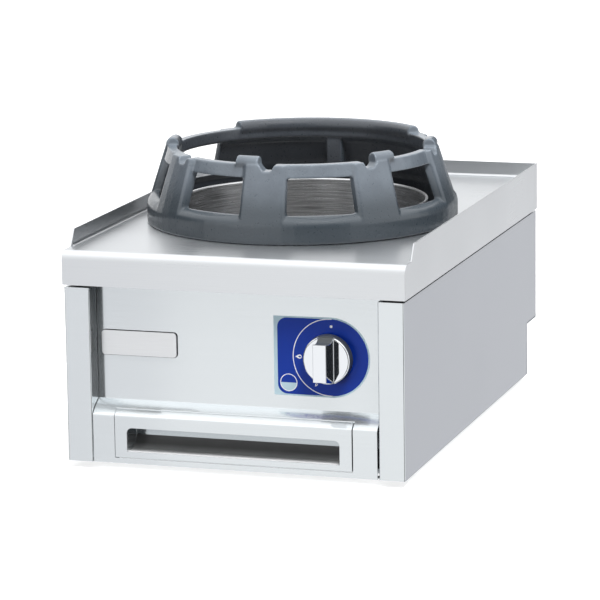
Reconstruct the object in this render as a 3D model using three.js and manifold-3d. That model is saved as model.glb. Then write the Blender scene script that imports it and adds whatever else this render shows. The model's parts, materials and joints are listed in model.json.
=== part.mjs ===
// Countertop gas wok range: a stainless cabinet with a cast iron wok ring over a sunk burner.
// Millimetres, +Z up, front towards -Y. The cabinet is built on its own underside (z = 0) and is
// then lifted onto its feet, with the whole object's box centred on the origin.
import * as THREE from 'three';
import { mergeVertices } from 'three/addons/utils/BufferGeometryUtils.js';
import Module from 'manifold-3d';

const wasm = await Module();
wasm.setup();

// ---------------------------------------------------------------- driving dimensions

// Clearances
const seat = 0.3; // gap left where one piece rests on or touches another
const runningGap = 0.15; // radial play of a turning or sliding shaft

// Cabinet
const cabinetWidth = 400;
const cabinetDepth = 600;
const worktopHeight = 241.5; // cabinet underside to worktop surface
const footHeight = 8;
const sheet = 1.5; // stainless sheet of all panels

// Worktop
const skirtDrop = 39;
const upstandRise = 18.4;
const upstandSetback = 27; // worktop front edge to foot of the side upstand
const upstandSlant = 11.5; // how far its front corner leans back
const fasciaRadius = 10;
const fasciaReturn = 8;
const coveRadius = 4;

// Panels
const skirtOverhang = 1.8; // skirt stands this far outside the side panels
const skirtGap = 2.4; // dark joint between skirt and panels
const panelInset = 0.8; // pillars behind the fascia
const pillarWidth = 30;
const pillarReturn = 29;
const shoulderStep = 4.2; // top of a side panel steps in here, behind the skirt
const supportLip = 12;
const rearFlange = 15;
const notchDepth = 44.4; // step in the lower rear corner, for the gas connection
const notchHeight = 64;

// Front panel
const panelRecess = 21.8;
const ledgeFront = 55.3;
const ledgeBack = 69.9;
const frontGapLeft = 0.6;
const frontGapRight = 1.8;
const panelFlange = 14;
const bottomReturn = 14;
const panelEdge = 12; // upturned edges of the bottom panel
const airSlot = [50, 8]; // length and width of the openings in the bottom panel
const airSlotX = 60;
const airSlotPlaces = [-90, -30, 30, 90];
const vent = [54, 8]; // length and width of the openings in the rear panel
const ventX = 70;
const ventHeights = [105, 125, 145, 165];

// Drawer
const drawerMarginLeft = 58.5; // cabinet side to the drawer's side
const drawerMarginRight = 62.9; // the drawer is 278.6 wide and hangs a little to the left
const drawerGapLeft = 0.4; // between the drawer front and its frame
const drawerGapRight = 1.2;
const drawerSill = 6.8; // height of the drawer's underside
const drawerLipShare = 0.37; // part of the ledge's slope that belongs to the drawer
const slotMargin = 14.3; // drawer's side to the end of the finger slot
const slotBottom = 14.3;
const slotHeight = 27.3;
const slotRadius = 6;
const scoopFloor = 13.5; // level part of the finger pocket's floor
const scoopRadius = 18; // from there the floor curves up to the back wall
const scoopRise = 4; // back wall above the slot
const drawerReturn = 12; // fold under the drawer front
const trayRoom = 4; // between the finger pocket and the tray
const trayRearRoom = 116.2; // tray's rear end to the back of the cabinet
const trayDepth = 33;
const trayOverlap = 22; // drawer side plates run this far past the tray's front wall
const runnerLeg = 22;
const runnerFoot = 14;
const runnerHeight = 20;
const runnerPlay = 2; // between a runner's guide and the drawer's side

// Burner well
const burnerSetback = 263.3; // cabinet front to the burner axis
const wellRadius = 143.6; // inside
const wellRise = 23.5; // rim above the worktop
const wellDepth = 92; // floor below the worktop
const wellBead = 2; // half width of the rolled rim
const wellFloorEdge = 12; // turned-up edge of the floor, welded inside the wall
const wellFloorCorner = 4;
const wellFloorHole = 78;

// Wok ring, heights from its own foot
const ringFoot = 182; // outer radius of the foot wall
const ringFootWall = 10;
const ringShoulder = 25.5; // height where the cone starts
const ringConeFoot = 181;
const ringConeTop = 158.5;
const ringConeHeight = 94;
const ringWall = 8;
const ringBeamTop = 87;
const ringBeamUnder = 72;
const ringBeamInner = 145; // inner radius of the thick upper beam
const ringSill = 31.5; // window sill at the inner face
const ringSillOuter = 26.5;
const postCount = 8;
const postOffset = 2.5; // degrees from the front, towards +X
const postAngle = 14;
const postProud = 5;
const windowAngles = [-110, -65, -20, 25, 70, 115];
const windowAngle = 31;
const windowCorner = 5;
const rimRadius = 8.2; // half-round bead of the rim and of the four stops
const rimCentre = 151;
const rimHeight = 88; // centre of the bead above the ring's foot
const stopAngles = [-79.5, -5.5, 54.5, 100];
const stopAngle = 10;
const rimStart = 136;
const rimEnd = 228;
const ribAngle = 7;
const ribDepth = 6;
const notchFloor = 80.3;
// Dips in the posts' tops, in degrees: from, to, and the widths of their two sloped ends.
const notches = [[2, 5.4, 2.7, 1.4], [44.6, 48, 1.4, 2.7], [-42, -38, 1.4, 1.4], [88, 92, 1.4, 1.4]];
const castEdge = 2; // bevels and overlaps of the casting

// Burner
const bowlRadius = 62;
const bowlWall = 7;
const bowlHeight = 46;
const bowlTopBelow = 62; // bowl rim below the worktop
const headRise = 24;
const portCount = 16;
const portWidth = 3;
const tubeRadius = 20;
const tubeWall = 4;
const tubeBelow = 62; // axis of the mixing tube below the bowl's rim
const mouthRoom = 61.2; // control panel to the mouth of the mixing tube, for injector and feed pipe
const flareRadius = 26;
const flareLength = 16;
const bracketBelow = 24; // bracket's top below the axis of the mixing tube
const bracketWidth = 90;
const bracketFlange = 15;
const bracketTab = 26;
const boltInset = 24; // bowl wall to the bolts of its bracket
const boltRadius = 4;
const boltHead = [7.5, 5]; // across corners / 2, and height
const boltReach = 20; // thread above the bracket
const bossRadius = 9;
const bossTopBelow = 18; // bosses end this far below the bowl's cone
const headCrown = 22; // flat top of the burner cap
const headThickness = 7;
const stripHeight = 20; // strip that holds the injector
const stripLap = 13; // its legs reach this far along the flared mouth
const injectorRadius = 6;
const injectorNose = 2.5;
const injectorHex = 10; // radius and length of its hexagon

// Gas train
const knobInset = 93.3; // cabinet side to the knob's axis
const knobBelow = 111.2; // knob's axis below the worktop
const spindleRadius = 4;
const spindleHole = 8; // radius of the panel's hole
const knobGap = 4.6; // knob's back face to the panel
const knobRadius = 27.2;
const knobSkirt = 28;
const knobDisc = 11;
const knobEdge = 1.5;
const knobWall = 4;
const knobHollow = 6;
const gripHeight = 24.4;
const gripWidth = 15.3;
const gripDraft = 1.2;
const gripTop = 22.8; // grip ends above and below the axis, at its front face
const gripBottom = 19.7;
const pushTravel = 4;
const valveRadius = 14;
const valveLength = 44;
const valveBoss = 8; // inlet and outlet stand this far out of the valve's body
const socketRadius = 5; // two sockets at the valve's rear, for the pilot tube and the lead
const socketReach = 6;
const socketPlace = [6.5, 4]; // from the valve's axis
const plugRadius = 7;
const spindleTail = 5; // across flats of its square end
const tailReach = 6; // square end in the plug, knob out
const socketDepth = 14;
const elbowReach = 18;
const inletInside = 18;
const bonnetPlate = 2.5;
const bonnetNeck = 6.5;
const supplyRadius = 7;
const supplyInset = 37; // cabinet side to the supply pipe's axis
const supplyHeight = 32;
const inletReach = 30; // nipple behind the lower rear panel
const inletRadius = 10.5;
const inletBore = 6;
const inletCollar = 5; // height and thickness of the collar inside the panel
const inletChamfer = 1.5;
const locknut = [30, 6]; // across flats, and thickness
const feedRadius = 4;
const pilotRadius = 2;
const pilotBody = 4.5; // radius of the brass pilot
const pilotStrip = 5; // its bracket below the bowl's rim
const pilotStripReach = 9;
const leadRadius = 1.5;
const probeRadius = 2;
const pilotAngle = 55; // degrees from the front, towards +X

// Feet
const footRadius = 14;
const footInsetX = 30;
const footInsetFront = 58;
const footInsetRear = 95;
const footStem = 4;

// ---------------------------------------------------------------- derived places

const halfWidth = cabinetWidth / 2;
const halfDepth = cabinetDepth / 2;
const sideX = halfWidth - skirtOverhang; // outer face of a side panel
const innerX = sideX - sheet; // inner face of a side panel
const bodyTop = worktopHeight - skirtDrop - skirtGap;
const supportTop = worktopHeight - sheet - seat; // what carries the worktop ends here
const frontY = -halfDepth + panelInset; // pillars, lower frame and drawer front
const panelY = frontY + panelRecess; // face of the control panel
const panelBack = panelY + sheet;
const pillarInner = sideX - pillarWidth;
const rearY = halfDepth; // outer face of the rear panel
const notchY = halfDepth - notchDepth; // outer face of its lower part
const flangeY = rearY - sheet - seat; // rear end of the side panels
const lowFlangeY = notchY - sheet - seat;
const stepZ = notchHeight + sheet + seat; // underside of the step in the side panels
const lipY = frontY + panelRecess * drawerLipShare; // where the drawer's sloped lip ends
const lipZ = ledgeFront + (ledgeBack - ledgeFront) * drawerLipShare;
const lipEnd = lipY + sheet * Math.sin(Math.atan2(ledgeBack - ledgeFront, panelRecess)); // its lower edge
const burnerY = -halfDepth + burnerSetback;
const wellOuter = wellRadius + sheet;
const wellFloor = worktopHeight - wellDepth;
const ringBase = worktopHeight + seat;
const drawerLeft = -halfWidth + drawerMarginLeft;
const drawerRight = halfWidth - drawerMarginRight;
const slotLeft = drawerLeft + slotMargin;
const slotRight = drawerRight - slotMargin;
const scoopBack = frontY + scoopFloor + scoopRadius; // face of the finger pocket's back wall
const trayFrontY = scoopBack + sheet + trayRoom;
const trayRearY = halfDepth - trayRearRoom;
const trayLeft = drawerLeft + sheet + seat; // outer faces of the tray's side walls
const trayRight = drawerRight - sheet - seat;
const bowlTop = worktopHeight - bowlTopBelow;
const bowlFloor = bowlTop - bowlHeight;
const bracketBoltX = bowlRadius - boltInset;
const tubeHeight = bowlTop - tubeBelow;
const bracketHeight = tubeHeight - bracketBelow;
const mouthY = panelBack + mouthRoom;
const knobX = halfWidth - knobInset;
const knobZ = worktopHeight - knobBelow;
const supplyX = halfWidth - supplyInset;
const knobBack = panelY - knobGap;
const discFace = knobBack - knobDisc;
const gripFace = discFace - gripHeight;
const bonnetY = panelBack + 2 * seat + sheet; // front face of the bonnet's plate
const valveFront = bonnetY + bonnetPlate + seat;
const valveBack = valveFront + valveLength;
const valveMidY = (valveFront + valveBack) / 2;
const plugFront = valveFront + pushTravel + 2 * seat; // room for the return spring in front of it
const plugBack = valveBack - 10;
const knobReach = -halfDepth - gripFace; // knob in front of the fascia
const injectorTip = mouthY - 4;
const injectorPlateY = mouthY - 18; // front face of the injector's bracket
const pilotOffset = bowlRadius + 9; // pilot and probe stand this far from the burner axis
const pilotFoot = wellFloor + 17;
const pilotTop = bowlTop + 20;
const probeSideways = 11;
const radian = Math.PI / 180;
const weld = 0.01; // corners left nearer than this by a join or cut become one
const grid = 0.002; // every corner is rounded to this, so that flush faces are exactly flush

// ---------------------------------------------------------------- shape helpers

function toManifold(geometry) {
  const bare = geometry.index ? geometry.toNonIndexed() : geometry;
  bare.deleteAttribute('normal');
  bare.deleteAttribute('uv');
  const positions = bare.attributes.position.array;
  for (let i = 0; i < positions.length; i += 1) positions[i] = Math.round(positions[i] / grid) * grid;
  const merged = mergeVertices(bare, grid / 2);
  const triVerts = [];
  const index = merged.index.array;
  for (let i = 0; i < index.length; i += 3) {
    const [a, b, c] = [index[i], index[i + 1], index[i + 2]];
    if (a !== b && b !== c && c !== a) triVerts.push(a, b, c);
  }
  const vertProperties = new Float32Array(merged.attributes.position.array);
  if (signedVolume(vertProperties, triVerts) < 0) triVerts.reverse();
  const mesh = new wasm.Mesh({ numProp: 3, vertProperties, triVerts: new Uint32Array(triVerts) });
  return new wasm.Manifold(mesh);
}

function signedVolume(points, triangles) {
  let volume = 0;
  const corner = [new THREE.Vector3(), new THREE.Vector3(), new THREE.Vector3()];
  for (let i = 0; i < triangles.length; i += 3) {
    for (let k = 0; k < 3; k += 1) corner[k].fromArray(points, 3 * triangles[i + k]);
    volume += corner[0].dot(corner[1].cross(corner[2])) / 6;
  }
  return volume;
}

function toGeometry(manifold) {
  const mesh = manifold.asOriginal().simplify(weld).getMesh();
  const geometry = new THREE.BufferGeometry();
  geometry.setAttribute('position', new THREE.BufferAttribute(mesh.vertProperties, 3));
  geometry.setIndex(new THREE.BufferAttribute(mesh.triVerts, 1));
  geometry.computeVertexNormals();
  return geometry;
}

const union = (...parts) => parts.reduce((sum, part) => sum.add(part));
const cut = (body, ...tools) => tools.reduce((rest, tool) => rest.subtract(tool), body);

function box([x0, x1], [y0, y1], [z0, z1]) {
  const geometry = new THREE.BoxGeometry(x1 - x0, y1 - y0, z1 - z0);
  geometry.translate((x0 + x1) / 2, (y0 + y1) / 2, (z0 + z1) / 2);
  return toManifold(geometry);
}

// A cylinder along x, y or z from `from` to `to`; centre gives the other two coordinates in order.
function rod(axis, radius, [from, to], [first, second], sides = 24, endRadius = radius) {
  const geometry = new THREE.CylinderGeometry(endRadius, radius, to - from, sides);
  const middle = (from + to) / 2;
  if (axis === 'x') geometry.rotateZ(-Math.PI / 2).translate(middle, first, second);
  if (axis === 'y') geometry.translate(first, middle, second);
  if (axis === 'z') geometry.rotateX(Math.PI / 2).translate(first, second, middle);
  return toManifold(geometry);
}

// Radius of a hole of flat facets that leaves the wanted play round a shaft at every angle.
function boreFor(shaft, play, sides = 24) {
  return (shaft + play) / Math.cos(Math.PI / sides);
}

function shapeFrom(points) {
  return new THREE.Shape(points.map(([u, v]) => new THREE.Vector2(u, v)));
}

// Extrusions of a shape drawn in (y, z), (x, z) or (x, y).
function alongX(shape, [x0, x1], curveSegments = 6) {
  const geometry = new THREE.ExtrudeGeometry(shape, { depth: x1 - x0, bevelEnabled: false, curveSegments });
  const turn = new THREE.Matrix4().set(0, 0, 1, x0, 1, 0, 0, 0, 0, 1, 0, 0, 0, 0, 0, 1);
  return toManifold(geometry.applyMatrix4(turn));
}

function alongY(shape, [y0, y1], curveSegments = 6) {
  const geometry = new THREE.ExtrudeGeometry(shape, { depth: y1 - y0, bevelEnabled: false, curveSegments });
  const turn = new THREE.Matrix4().set(1, 0, 0, 0, 0, 0, -1, y1, 0, 1, 0, 0, 0, 0, 0, 1);
  return toManifold(geometry.applyMatrix4(turn));
}

function alongZ(shape, [z0, z1], curveSegments = 6) {
  const geometry = new THREE.ExtrudeGeometry(shape, { depth: z1 - z0, bevelEnabled: false, curveSegments });
  return toManifold(geometry.translate(0, 0, z0));
}

// Solid of revolution about a vertical axis through (x, y), from a closed profile of [radius, height].
function revolve(profile, [x, y] = [0, burnerY], segments = 72) {
  const points = [...profile, profile[0]].map(([r, z]) => new THREE.Vector2(r, z));
  const geometry = new THREE.LatheGeometry(points, segments);
  geometry.rotateX(Math.PI / 2).translate(x, y, 0);
  return toManifold(geometry);
}

// The same about an axis along Y through (x, z), from a profile of [radius, y].
function revolveY(profile, [x, z], segments = 32) {
  const points = [...profile, profile[0]].map(([r, y]) => new THREE.Vector2(r, y));
  const geometry = new THREE.LatheGeometry(points, segments);
  geometry.translate(x, 0, z);
  return toManifold(geometry);
}

function roundedRect([u0, u1], [v0, v1], radius) {
  const shape = new THREE.Shape();
  shape.moveTo(u0 + radius, v0);
  shape.lineTo(u1 - radius, v0);
  shape.absarc(u1 - radius, v0 + radius, radius, -Math.PI / 2, 0);
  shape.lineTo(u1, v1 - radius);
  shape.absarc(u1 - radius, v1 - radius, radius, 0, Math.PI / 2);
  shape.lineTo(u0 + radius, v1);
  shape.absarc(u0 + radius, v1 - radius, radius, Math.PI / 2, Math.PI);
  shape.lineTo(u0, v0 + radius);
  shape.absarc(u0 + radius, v0 + radius, radius, Math.PI, 1.5 * Math.PI);
  return shape;
}

function arcPoints([u, v], radius, from, to, steps = 6) {
  return Array.from({ length: steps + 1 }, (_, i) => {
    const angle = (from + ((to - from) * i) / steps) * radian;
    return [u + radius * Math.cos(angle), v + radius * Math.sin(angle)];
  });
}

// Cross-section of folded sheet: the path is its outer face, and the metal lies to the path's left.
function folded(path, thickness = sheet) {
  const inner = path.map((point, i) => {
    const before = path[Math.max(i - 1, 0)];
    const after = path[Math.min(i + 1, path.length - 1)];
    const normals = [[before, point], [point, after]]
      .filter(([a, b]) => a !== b)
      .map(([a, b]) => {
        const length = Math.hypot(b[0] - a[0], b[1] - a[1]);
        return [-(b[1] - a[1]) / length, (b[0] - a[0]) / length];
      });
    const [m, n] = [normals[0], normals[normals.length - 1]];
    const spread = 1 + m[0] * n[0] + m[1] * n[1];
    return [point[0] + (thickness * (m[0] + n[0])) / spread, point[1] + (thickness * (m[1] + n[1])) / spread];
  });
  return shapeFrom([...path, ...inner.reverse()]);
}

// A tube or rod bent along a smooth line through the given points.
function bentTube(points, radius, steps, sides = 10) {
  const line = new THREE.CatmullRomCurve3(points.map((p) => new THREE.Vector3(...p)), false, 'centripetal');
  const section = shapeFrom(arcPoints([0, 0], radius, 0, 360 * (1 - 1 / sides), sides - 1));
  const geometry = new THREE.ExtrudeGeometry(section, { steps, extrudePath: line, bevelEnabled: false });
  return toManifold(geometry);
}

// A hexagon nut along x, y or z with a plain bore.
function nut(axis, acrossFlats, bore, span, centre) {
  const hex = rod(axis, acrossFlats / Math.sqrt(3), span, centre, 6);
  return cut(hex, rod(axis, bore, [span[0] - 1, span[1] + 1], centre, 16));
}

// ---------------------------------------------------------------- cabinet

// One range on the +X side, or its mirror image on the -X side.
const onSide = (side, [a, b]) => (side > 0 ? [a, b] : [-b, -a]);

function mirroredShape(shape) {
  return shapeFrom(shape.getPoints(6).map((point) => [-point.x, point.y]));
}

function worktop() {
  const nose = arcPoints([-halfDepth + fasciaRadius, worktopHeight - fasciaRadius], fasciaRadius, 90, 180);
  const skirtFoot = worktopHeight - skirtDrop;
  const plate = alongX(
    folded([
      [halfDepth, worktopHeight],
      ...nose,
      [-halfDepth, skirtFoot],
      [-halfDepth + fasciaReturn, skirtFoot],
    ]),
    [-halfWidth, halfWidth],
  );
  const upstandTop = worktopHeight + upstandRise;
  const upstandFoot = -halfDepth + upstandSetback;
  const sideOutline = shapeFrom([
    ...nose,
    [-halfDepth, skirtFoot],
    [halfDepth, skirtFoot],
    [halfDepth, upstandTop],
    [upstandFoot + upstandSlant, upstandTop],
    [upstandFoot, worktopHeight],
  ]);
  const rear = box([-halfWidth, halfWidth], [halfDepth - sheet, halfDepth], [skirtFoot, upstandTop]);
  const sides = [-1, 1].map((side) => alongX(sideOutline, onSide(side, [halfWidth - sheet, halfWidth])));
  const opening = rod('z', wellOuter + seat, [worktopHeight - 2 * sheet, upstandTop], [0, burnerY], 72);
  return cut(union(plate, rear, ...sides, ...coves()), opening);
}

// Concave fillets at the foot of the rear and side upstands.
function coves() {
  const profile = (wall, floor) =>
    shapeFrom([
      ...arcPoints([wall - coveRadius, floor + coveRadius], coveRadius, -90, 0, 4),
      [wall + sheet / 2, floor + coveRadius],
      [wall + sheet / 2, floor - sheet / 2],
      [wall - coveRadius, floor - sheet / 2],
    ]);
  const rearWall = halfDepth - sheet;
  const sideWall = halfWidth - sheet;
  const run = [-halfDepth + upstandSetback + coveRadius, rearWall];
  const sideProfile = profile(sideWall, worktopHeight);
  return [
    alongX(profile(rearWall, worktopHeight), [-sideWall, sideWall]),
    alongY(sideProfile, run),
    alongY(mirroredShape(sideProfile), run),
  ];
}

// Outer wall, folded front pillar, shoulder that carries the worktop, and rear flanges.
function sidePanel(side) {
  const across = (shape) => (side > 0 ? shape : mirroredShape(shape));
  const wall = alongX(
    shapeFrom([
      [frontY, 0],
      [lowFlangeY, 0],
      [lowFlangeY, stepZ],
      [flangeY, stepZ],
      [flangeY, bodyTop],
      [frontY, bodyTop],
    ]),
    onSide(side, [innerX, sideX]),
  );
  const pillar = alongZ(
    across(
      folded([
        [pillarInner, frontY + pillarReturn],
        [pillarInner, frontY],
        [sideX, frontY],
        [sideX, frontY + pillarReturn],
      ]),
    ),
    [0, bodyTop],
  );
  const capRange = onSide(side, [pillarInner, sideX]);
  const cap = box(capRange, [frontY, frontY + pillarReturn], [bodyTop - sheet, bodyTop]);
  const shoulderX = sideX - shoulderStep;
  const shoulder = alongY(
    across(
      folded([
        [sideX, bodyTop - shoulderStep],
        [sideX, bodyTop],
        [shoulderX, bodyTop],
        [shoulderX, supportTop],
        [shoulderX - supportLip, supportTop],
      ]),
    ),
    [frontY + pillarReturn - sheet, flangeY],
  );
  const flangeRange = onSide(side, [innerX - rearFlange, innerX]);
  const flanges = [
    box(flangeRange, [flangeY - sheet, flangeY], [stepZ, bodyTop]),
    box(flangeRange, [lowFlangeY - sheet, flangeY], [stepZ, stepZ + sheet]),
    box(flangeRange, [lowFlangeY - sheet, lowFlangeY], [0, stepZ]),
  ];
  return union(wall, pillar, cap, shoulder, ...flanges);
}

// Control panel, sloped ledge and lower front in one folded sheet, with the drawer's opening.
function frontPanel() {
  const profile = folded([
    [panelY + panelFlange, supportTop],
    [panelY, supportTop],
    [panelY, ledgeBack],
    [frontY, ledgeFront],
    [frontY, 0],
    [frontY + bottomReturn, 0],
  ]);
  const panel = alongX(profile, [-pillarInner + frontGapLeft, pillarInner - seat]);
  const lowRight = pillarInner - frontGapRight;
  const sideRelief = box([lowRight, pillarInner], [frontY - 1, panelY - 1], [-1, ledgeBack - 1]);
  const openingAcross = [drawerLeft - drawerGapLeft, drawerRight + drawerGapRight];
  const openingHeights = [drawerSill - seat, ledgeBack + 1];
  const opening = box(openingAcross, [frontY - 1, lipEnd + drawerGapLeft], openingHeights);
  const hole = rod('y', spindleHole, [panelY - 1, panelBack + 1], [knobX, knobZ], 32);
  return cut(panel, sideRelief, opening, hole);
}

// A slot with round ends, along the first axis.
function pill([length, width], [u, v]) {
  const shape = new THREE.Shape();
  const reach = (length - width) / 2;
  shape.moveTo(u - reach, v - width / 2);
  shape.lineTo(u + reach, v - width / 2);
  shape.absarc(u + reach, v, width / 2, -Math.PI / 2, Math.PI / 2);
  shape.lineTo(u - reach, v + width / 2);
  shape.absarc(u - reach, v, width / 2, Math.PI / 2, 1.5 * Math.PI);
  return shape;
}

function footPlaces() {
  const x = halfWidth - footInsetX;
  const [front, rear] = [-halfDepth + footInsetFront, halfDepth - footInsetRear];
  return { front_left: [-x, front], front_right: [x, front], rear_left: [-x, rear], rear_right: [x, rear] };
}

// Base tray with upturned edges, air slots and holes for the feet.
function bottomPanel() {
  const x = innerX - seat;
  const front = frontY + pillarReturn + seat;
  const rear = lowFlangeY - sheet - seat;
  const frontEdge = drawerSill - sheet - seat;
  const tray = union(
    box([-x, x], [front, rear], [0, sheet]),
    box([-x, -x + sheet], [front, rear], [0, panelEdge]),
    box([x - sheet, x], [front, rear], [0, panelEdge]),
    box([-x, x], [rear - sheet, rear], [0, panelEdge]),
    box([-x, x], [front, front + sheet], [0, frontEdge]),
  );
  const slots = [-1, 1].flatMap((side) =>
    airSlotPlaces.map((y) => alongZ(pill(airSlot, [side * airSlotX, y]), [-1, sheet + 1], 2)),
  );
  const holes = Object.values(footPlaces()).map((place) =>
    rod('z', footStem + 0.5, [-1, sheet + 1], place, 16));
  return cut(tray, ...slots, ...holes);
}

// Rear panel, stepped forward at its foot, with vent slots and the hole for the gas inlet.
function rearPanel() {
  const profile = folded([
    [notchY, 0],
    [notchY, notchHeight],
    [rearY, notchHeight],
    [rearY, bodyTop],
  ]);
  const sheetBody = alongX(profile, [-sideX, sideX]);
  const slots = [-1, 1].flatMap((side) =>
    ventHeights.map((z) => alongY(pill(vent, [side * ventX, z]), [rearY - 2 * sheet, rearY + 1], 3)),
  );
  const inletSpan = [notchY - 2 * sheet, notchY + 1];
  return cut(sheetBody, ...slots, rod('y', inletRadius + 0.4, inletSpan, [supplyX, supplyHeight]));
}

// Push-in rubber foot: pad below the panel, stem through it and a button above.
function foot(place) {
  const pad = -seat;
  const button = sheet + seat;
  const profile = [
    [0, -footHeight],
    [footRadius - 2, -footHeight],
    [footRadius, -footHeight + 2],
    [footRadius - 1, pad],
    [footStem, pad],
    [footStem, button],
    [footStem + 2, button],
    [footStem + 1, button + 2],
    [0, button + 2],
  ];
  return revolve(profile, place, 16);
}

// ---------------------------------------------------------------- wok ring and burner well

// Rolled sheet cylinder with a rolled rim, welded into the worktop's opening.
function burnerWell() {
  const rim = worktopHeight + wellRise;
  const foot = wellFloor - sheet;
  return revolve([
    [wellRadius, foot],
    ...arcPoints([wellRadius + wellBead, rim - wellBead], wellBead, 180, -30, 3),
    [wellOuter, rim - 2.5 * wellBead],
    [wellOuter, foot],
  ], [0, burnerY], 40);
}

// Floor of the well: a holed disc with a turned-up edge inside the cylinder's foot.
function wellBottom() {
  const outer = wellRadius - seat;
  const inner = outer - sheet;
  const edge = wellFloor + wellFloorEdge;
  const under = wellFloor - sheet;
  return revolve([
    [wellFloorHole, wellFloor],
    [inner - wellFloorCorner, wellFloor],
    [inner, wellFloor + wellFloorCorner],
    [inner, edge],
    [outer, edge],
    [outer, wellFloor + wellFloorCorner - sheet],
    [outer - wellFloorCorner, under],
    [wellFloorHole, under],
  ], [0, burnerY], 40);
}

// Outer radius of the ring's cone at a height above the ring's foot.
function coneRadius(height) {
  const slope = (ringConeFoot - ringConeTop) / (ringConeHeight - ringShoulder);
  return ringConeFoot - (height - ringShoulder) * slope;
}

function ringProfile(outerFace) {
  const inner = (height) => coneRadius(height) - postProud - ringWall;
  return [
    [ringFoot - ringFootWall, 0],
    [ringFoot, 0],
    ...outerFace,
    [ringBeamInner, ringBeamTop],
    [ringBeamInner, ringBeamUnder + castEdge],
    [inner(ringBeamUnder - 2.5 * castEdge), ringBeamUnder - 2.5 * castEdge],
    [inner(ringSill + castEdge / 2), ringSill + castEdge / 2],
    [ringFoot - ringFootWall, ringShoulder - castEdge],
  ].map(([r, z]) => [r, z + ringBase]);
}

// Directions at an angle from the front (-Y) towards +X, seen from the burner axis.
function ringPoint(angle, radius, sideways = 0) {
  const [sin, cos] = [Math.sin(angle * radian), Math.cos(angle * radian)];
  return [radius * sin + sideways * cos, burnerY - radius * cos + sideways * sin];
}

// Extrusion of a shape drawn in (sideways, height), from one radius out to another.
function alongRadius(shape, angle, [near, far], curveSegments = 3) {
  const options = { depth: far - near, bevelEnabled: false, curveSegments };
  const geometry = new THREE.ExtrudeGeometry(shape, options);
  const [x, y] = ringPoint(angle, near);
  const [sin, cos] = [Math.sin(angle * radian), Math.cos(angle * radian)];
  const turn = new THREE.Matrix4().set(cos, 0, sin, x, sin, 0, -cos, y, 0, 1, 0, ringBase, 0, 0, 0, 1);
  return toManifold(geometry.applyMatrix4(turn));
}

// Extrusion of an outline drawn in (radius, height), reaching the same way to both sides.
function alongTangent(outline, angle, reach) {
  const geometry = new THREE.ExtrudeGeometry(shapeFrom(outline), { depth: 2 * reach, bevelEnabled: false });
  const [x, y] = ringPoint(angle, 0, -reach);
  const [sin, cos] = [Math.sin(angle * radian), Math.cos(angle * radian)];
  const turn = new THREE.Matrix4().set(sin, 0, cos, x, -cos, 0, sin, y, 0, 1, 0, ringBase, 0, 0, 0, 1);
  return toManifold(geometry.applyMatrix4(turn));
}

function ringSector(from, to, [z0, z1], reach = ringFoot + 10) {
  const steps = Math.max(1, Math.ceil((to - from) / 30));
  const rim = Array.from({ length: steps + 1 }, (_, i) => {
    const angle = from + ((to - from) * i) / steps;
    return ringPoint(angle, reach / Math.cos(((to - from) / steps / 2) * radian));
  });
  return alongZ(shapeFrom([ringPoint(0, 0), ...rim]), [z0 + ringBase, z1 + ringBase]);
}

// Solid between two plan outlines of equal length, one above the other.
function loft(lower, z0, upper, z1) {
  const count = lower.length;
  const points = [...lower.map(([x, y]) => [x, y, z0]), ...upper.map(([x, y]) => [x, y, z1])].flat();
  const faces = [];
  for (let i = 0; i < count; i += 1) {
    const next = (i + 1) % count;
    faces.push(i, next, count + i, next, count + next, count + i);
  }
  for (let i = 1; i < count - 1; i += 1) faces.push(0, i + 1, i, count, count + i, count + i + 1);
  const geometry = new THREE.BufferGeometry();
  geometry.setAttribute('position', new THREE.Float32BufferAttribute(points, 3));
  geometry.setIndex(faces);
  return toManifold(geometry);
}

// Room in which a post stands proud of the windows' frames, with sides bevelled at 45 degrees.
function postRoom(angle) {
  const outline = (height) => {
    const face = coneRadius(height);
    const half = face * Math.sin((postAngle / 2) * radian);
    const margin = castEdge;
    const pairs = [
      [face - postProud - ringWall - margin, -half - postProud],
      [face - postProud, -half - postProud],
      [face + margin, -half + margin],
      [face + margin, half - margin],
      [face - postProud, half + postProud],
      [face - postProud - ringWall - margin, half + postProud],
    ];
    return pairs.map(([r, s]) => ringPoint(angle, r, s));
  };
  return loft(outline(0), ringBase + 1, outline(ringBeamTop), ringBase + ringBeamTop);
}

// Rounded window between two posts, with a sill that rises from the outer edge to the inner face.
function windowRoom(angle) {
  const half = (height) => coneRadius(height) * Math.sin((windowAngle / 2) * radian);
  const [foot, head] = [half(ringSillOuter), half(ringBeamUnder)];
  const shape = new THREE.Shape();
  const corner = windowCorner;
  shape.moveTo(-foot, ringSillOuter - 1);
  shape.lineTo(foot, ringSillOuter - 1);
  shape.lineTo(head, ringBeamUnder - corner);
  shape.quadraticCurveTo(head, ringBeamUnder, head - corner, ringBeamUnder);
  shape.lineTo(-head + corner, ringBeamUnder);
  shape.quadraticCurveTo(-head, ringBeamUnder, -head, ringBeamUnder - corner);
  const [near, far] = [ringBeamInner - 3 * ringWall, ringFoot + ringWall];
  const aboveSill = [
    [near - 1, ringSill],
    [coneRadius(ringSill) - postProud - ringWall / 2, ringSill],
    [ringFoot, ringSillOuter],
    [far + 1, ringSillOuter],
    [far + 1, ringBeamUnder + 1],
    [near - 1, ringBeamUnder + 1],
  ];
  return alongRadius(shape, angle, [near, far]).intersect(alongTangent(aboveSill, angle, 2 * foot));
}

// Dip in a post's top, between two angles, with sloped ends.
function topNotch([from, to, lead, trail]) {
  const middle = (from + to) / 2;
  const across = (angle) => rimCentre * Math.sin((angle - middle) * radian);
  const top = ringBeamTop + castEdge;
  const shape = shapeFrom([
    [across(from), notchFloor],
    [across(to), notchFloor],
    [across(to + trail), top],
    [across(from - lead), top],
  ]);
  return alongRadius(shape, middle, [ringBeamInner - ringWall, ringFoot]);
}

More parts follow.
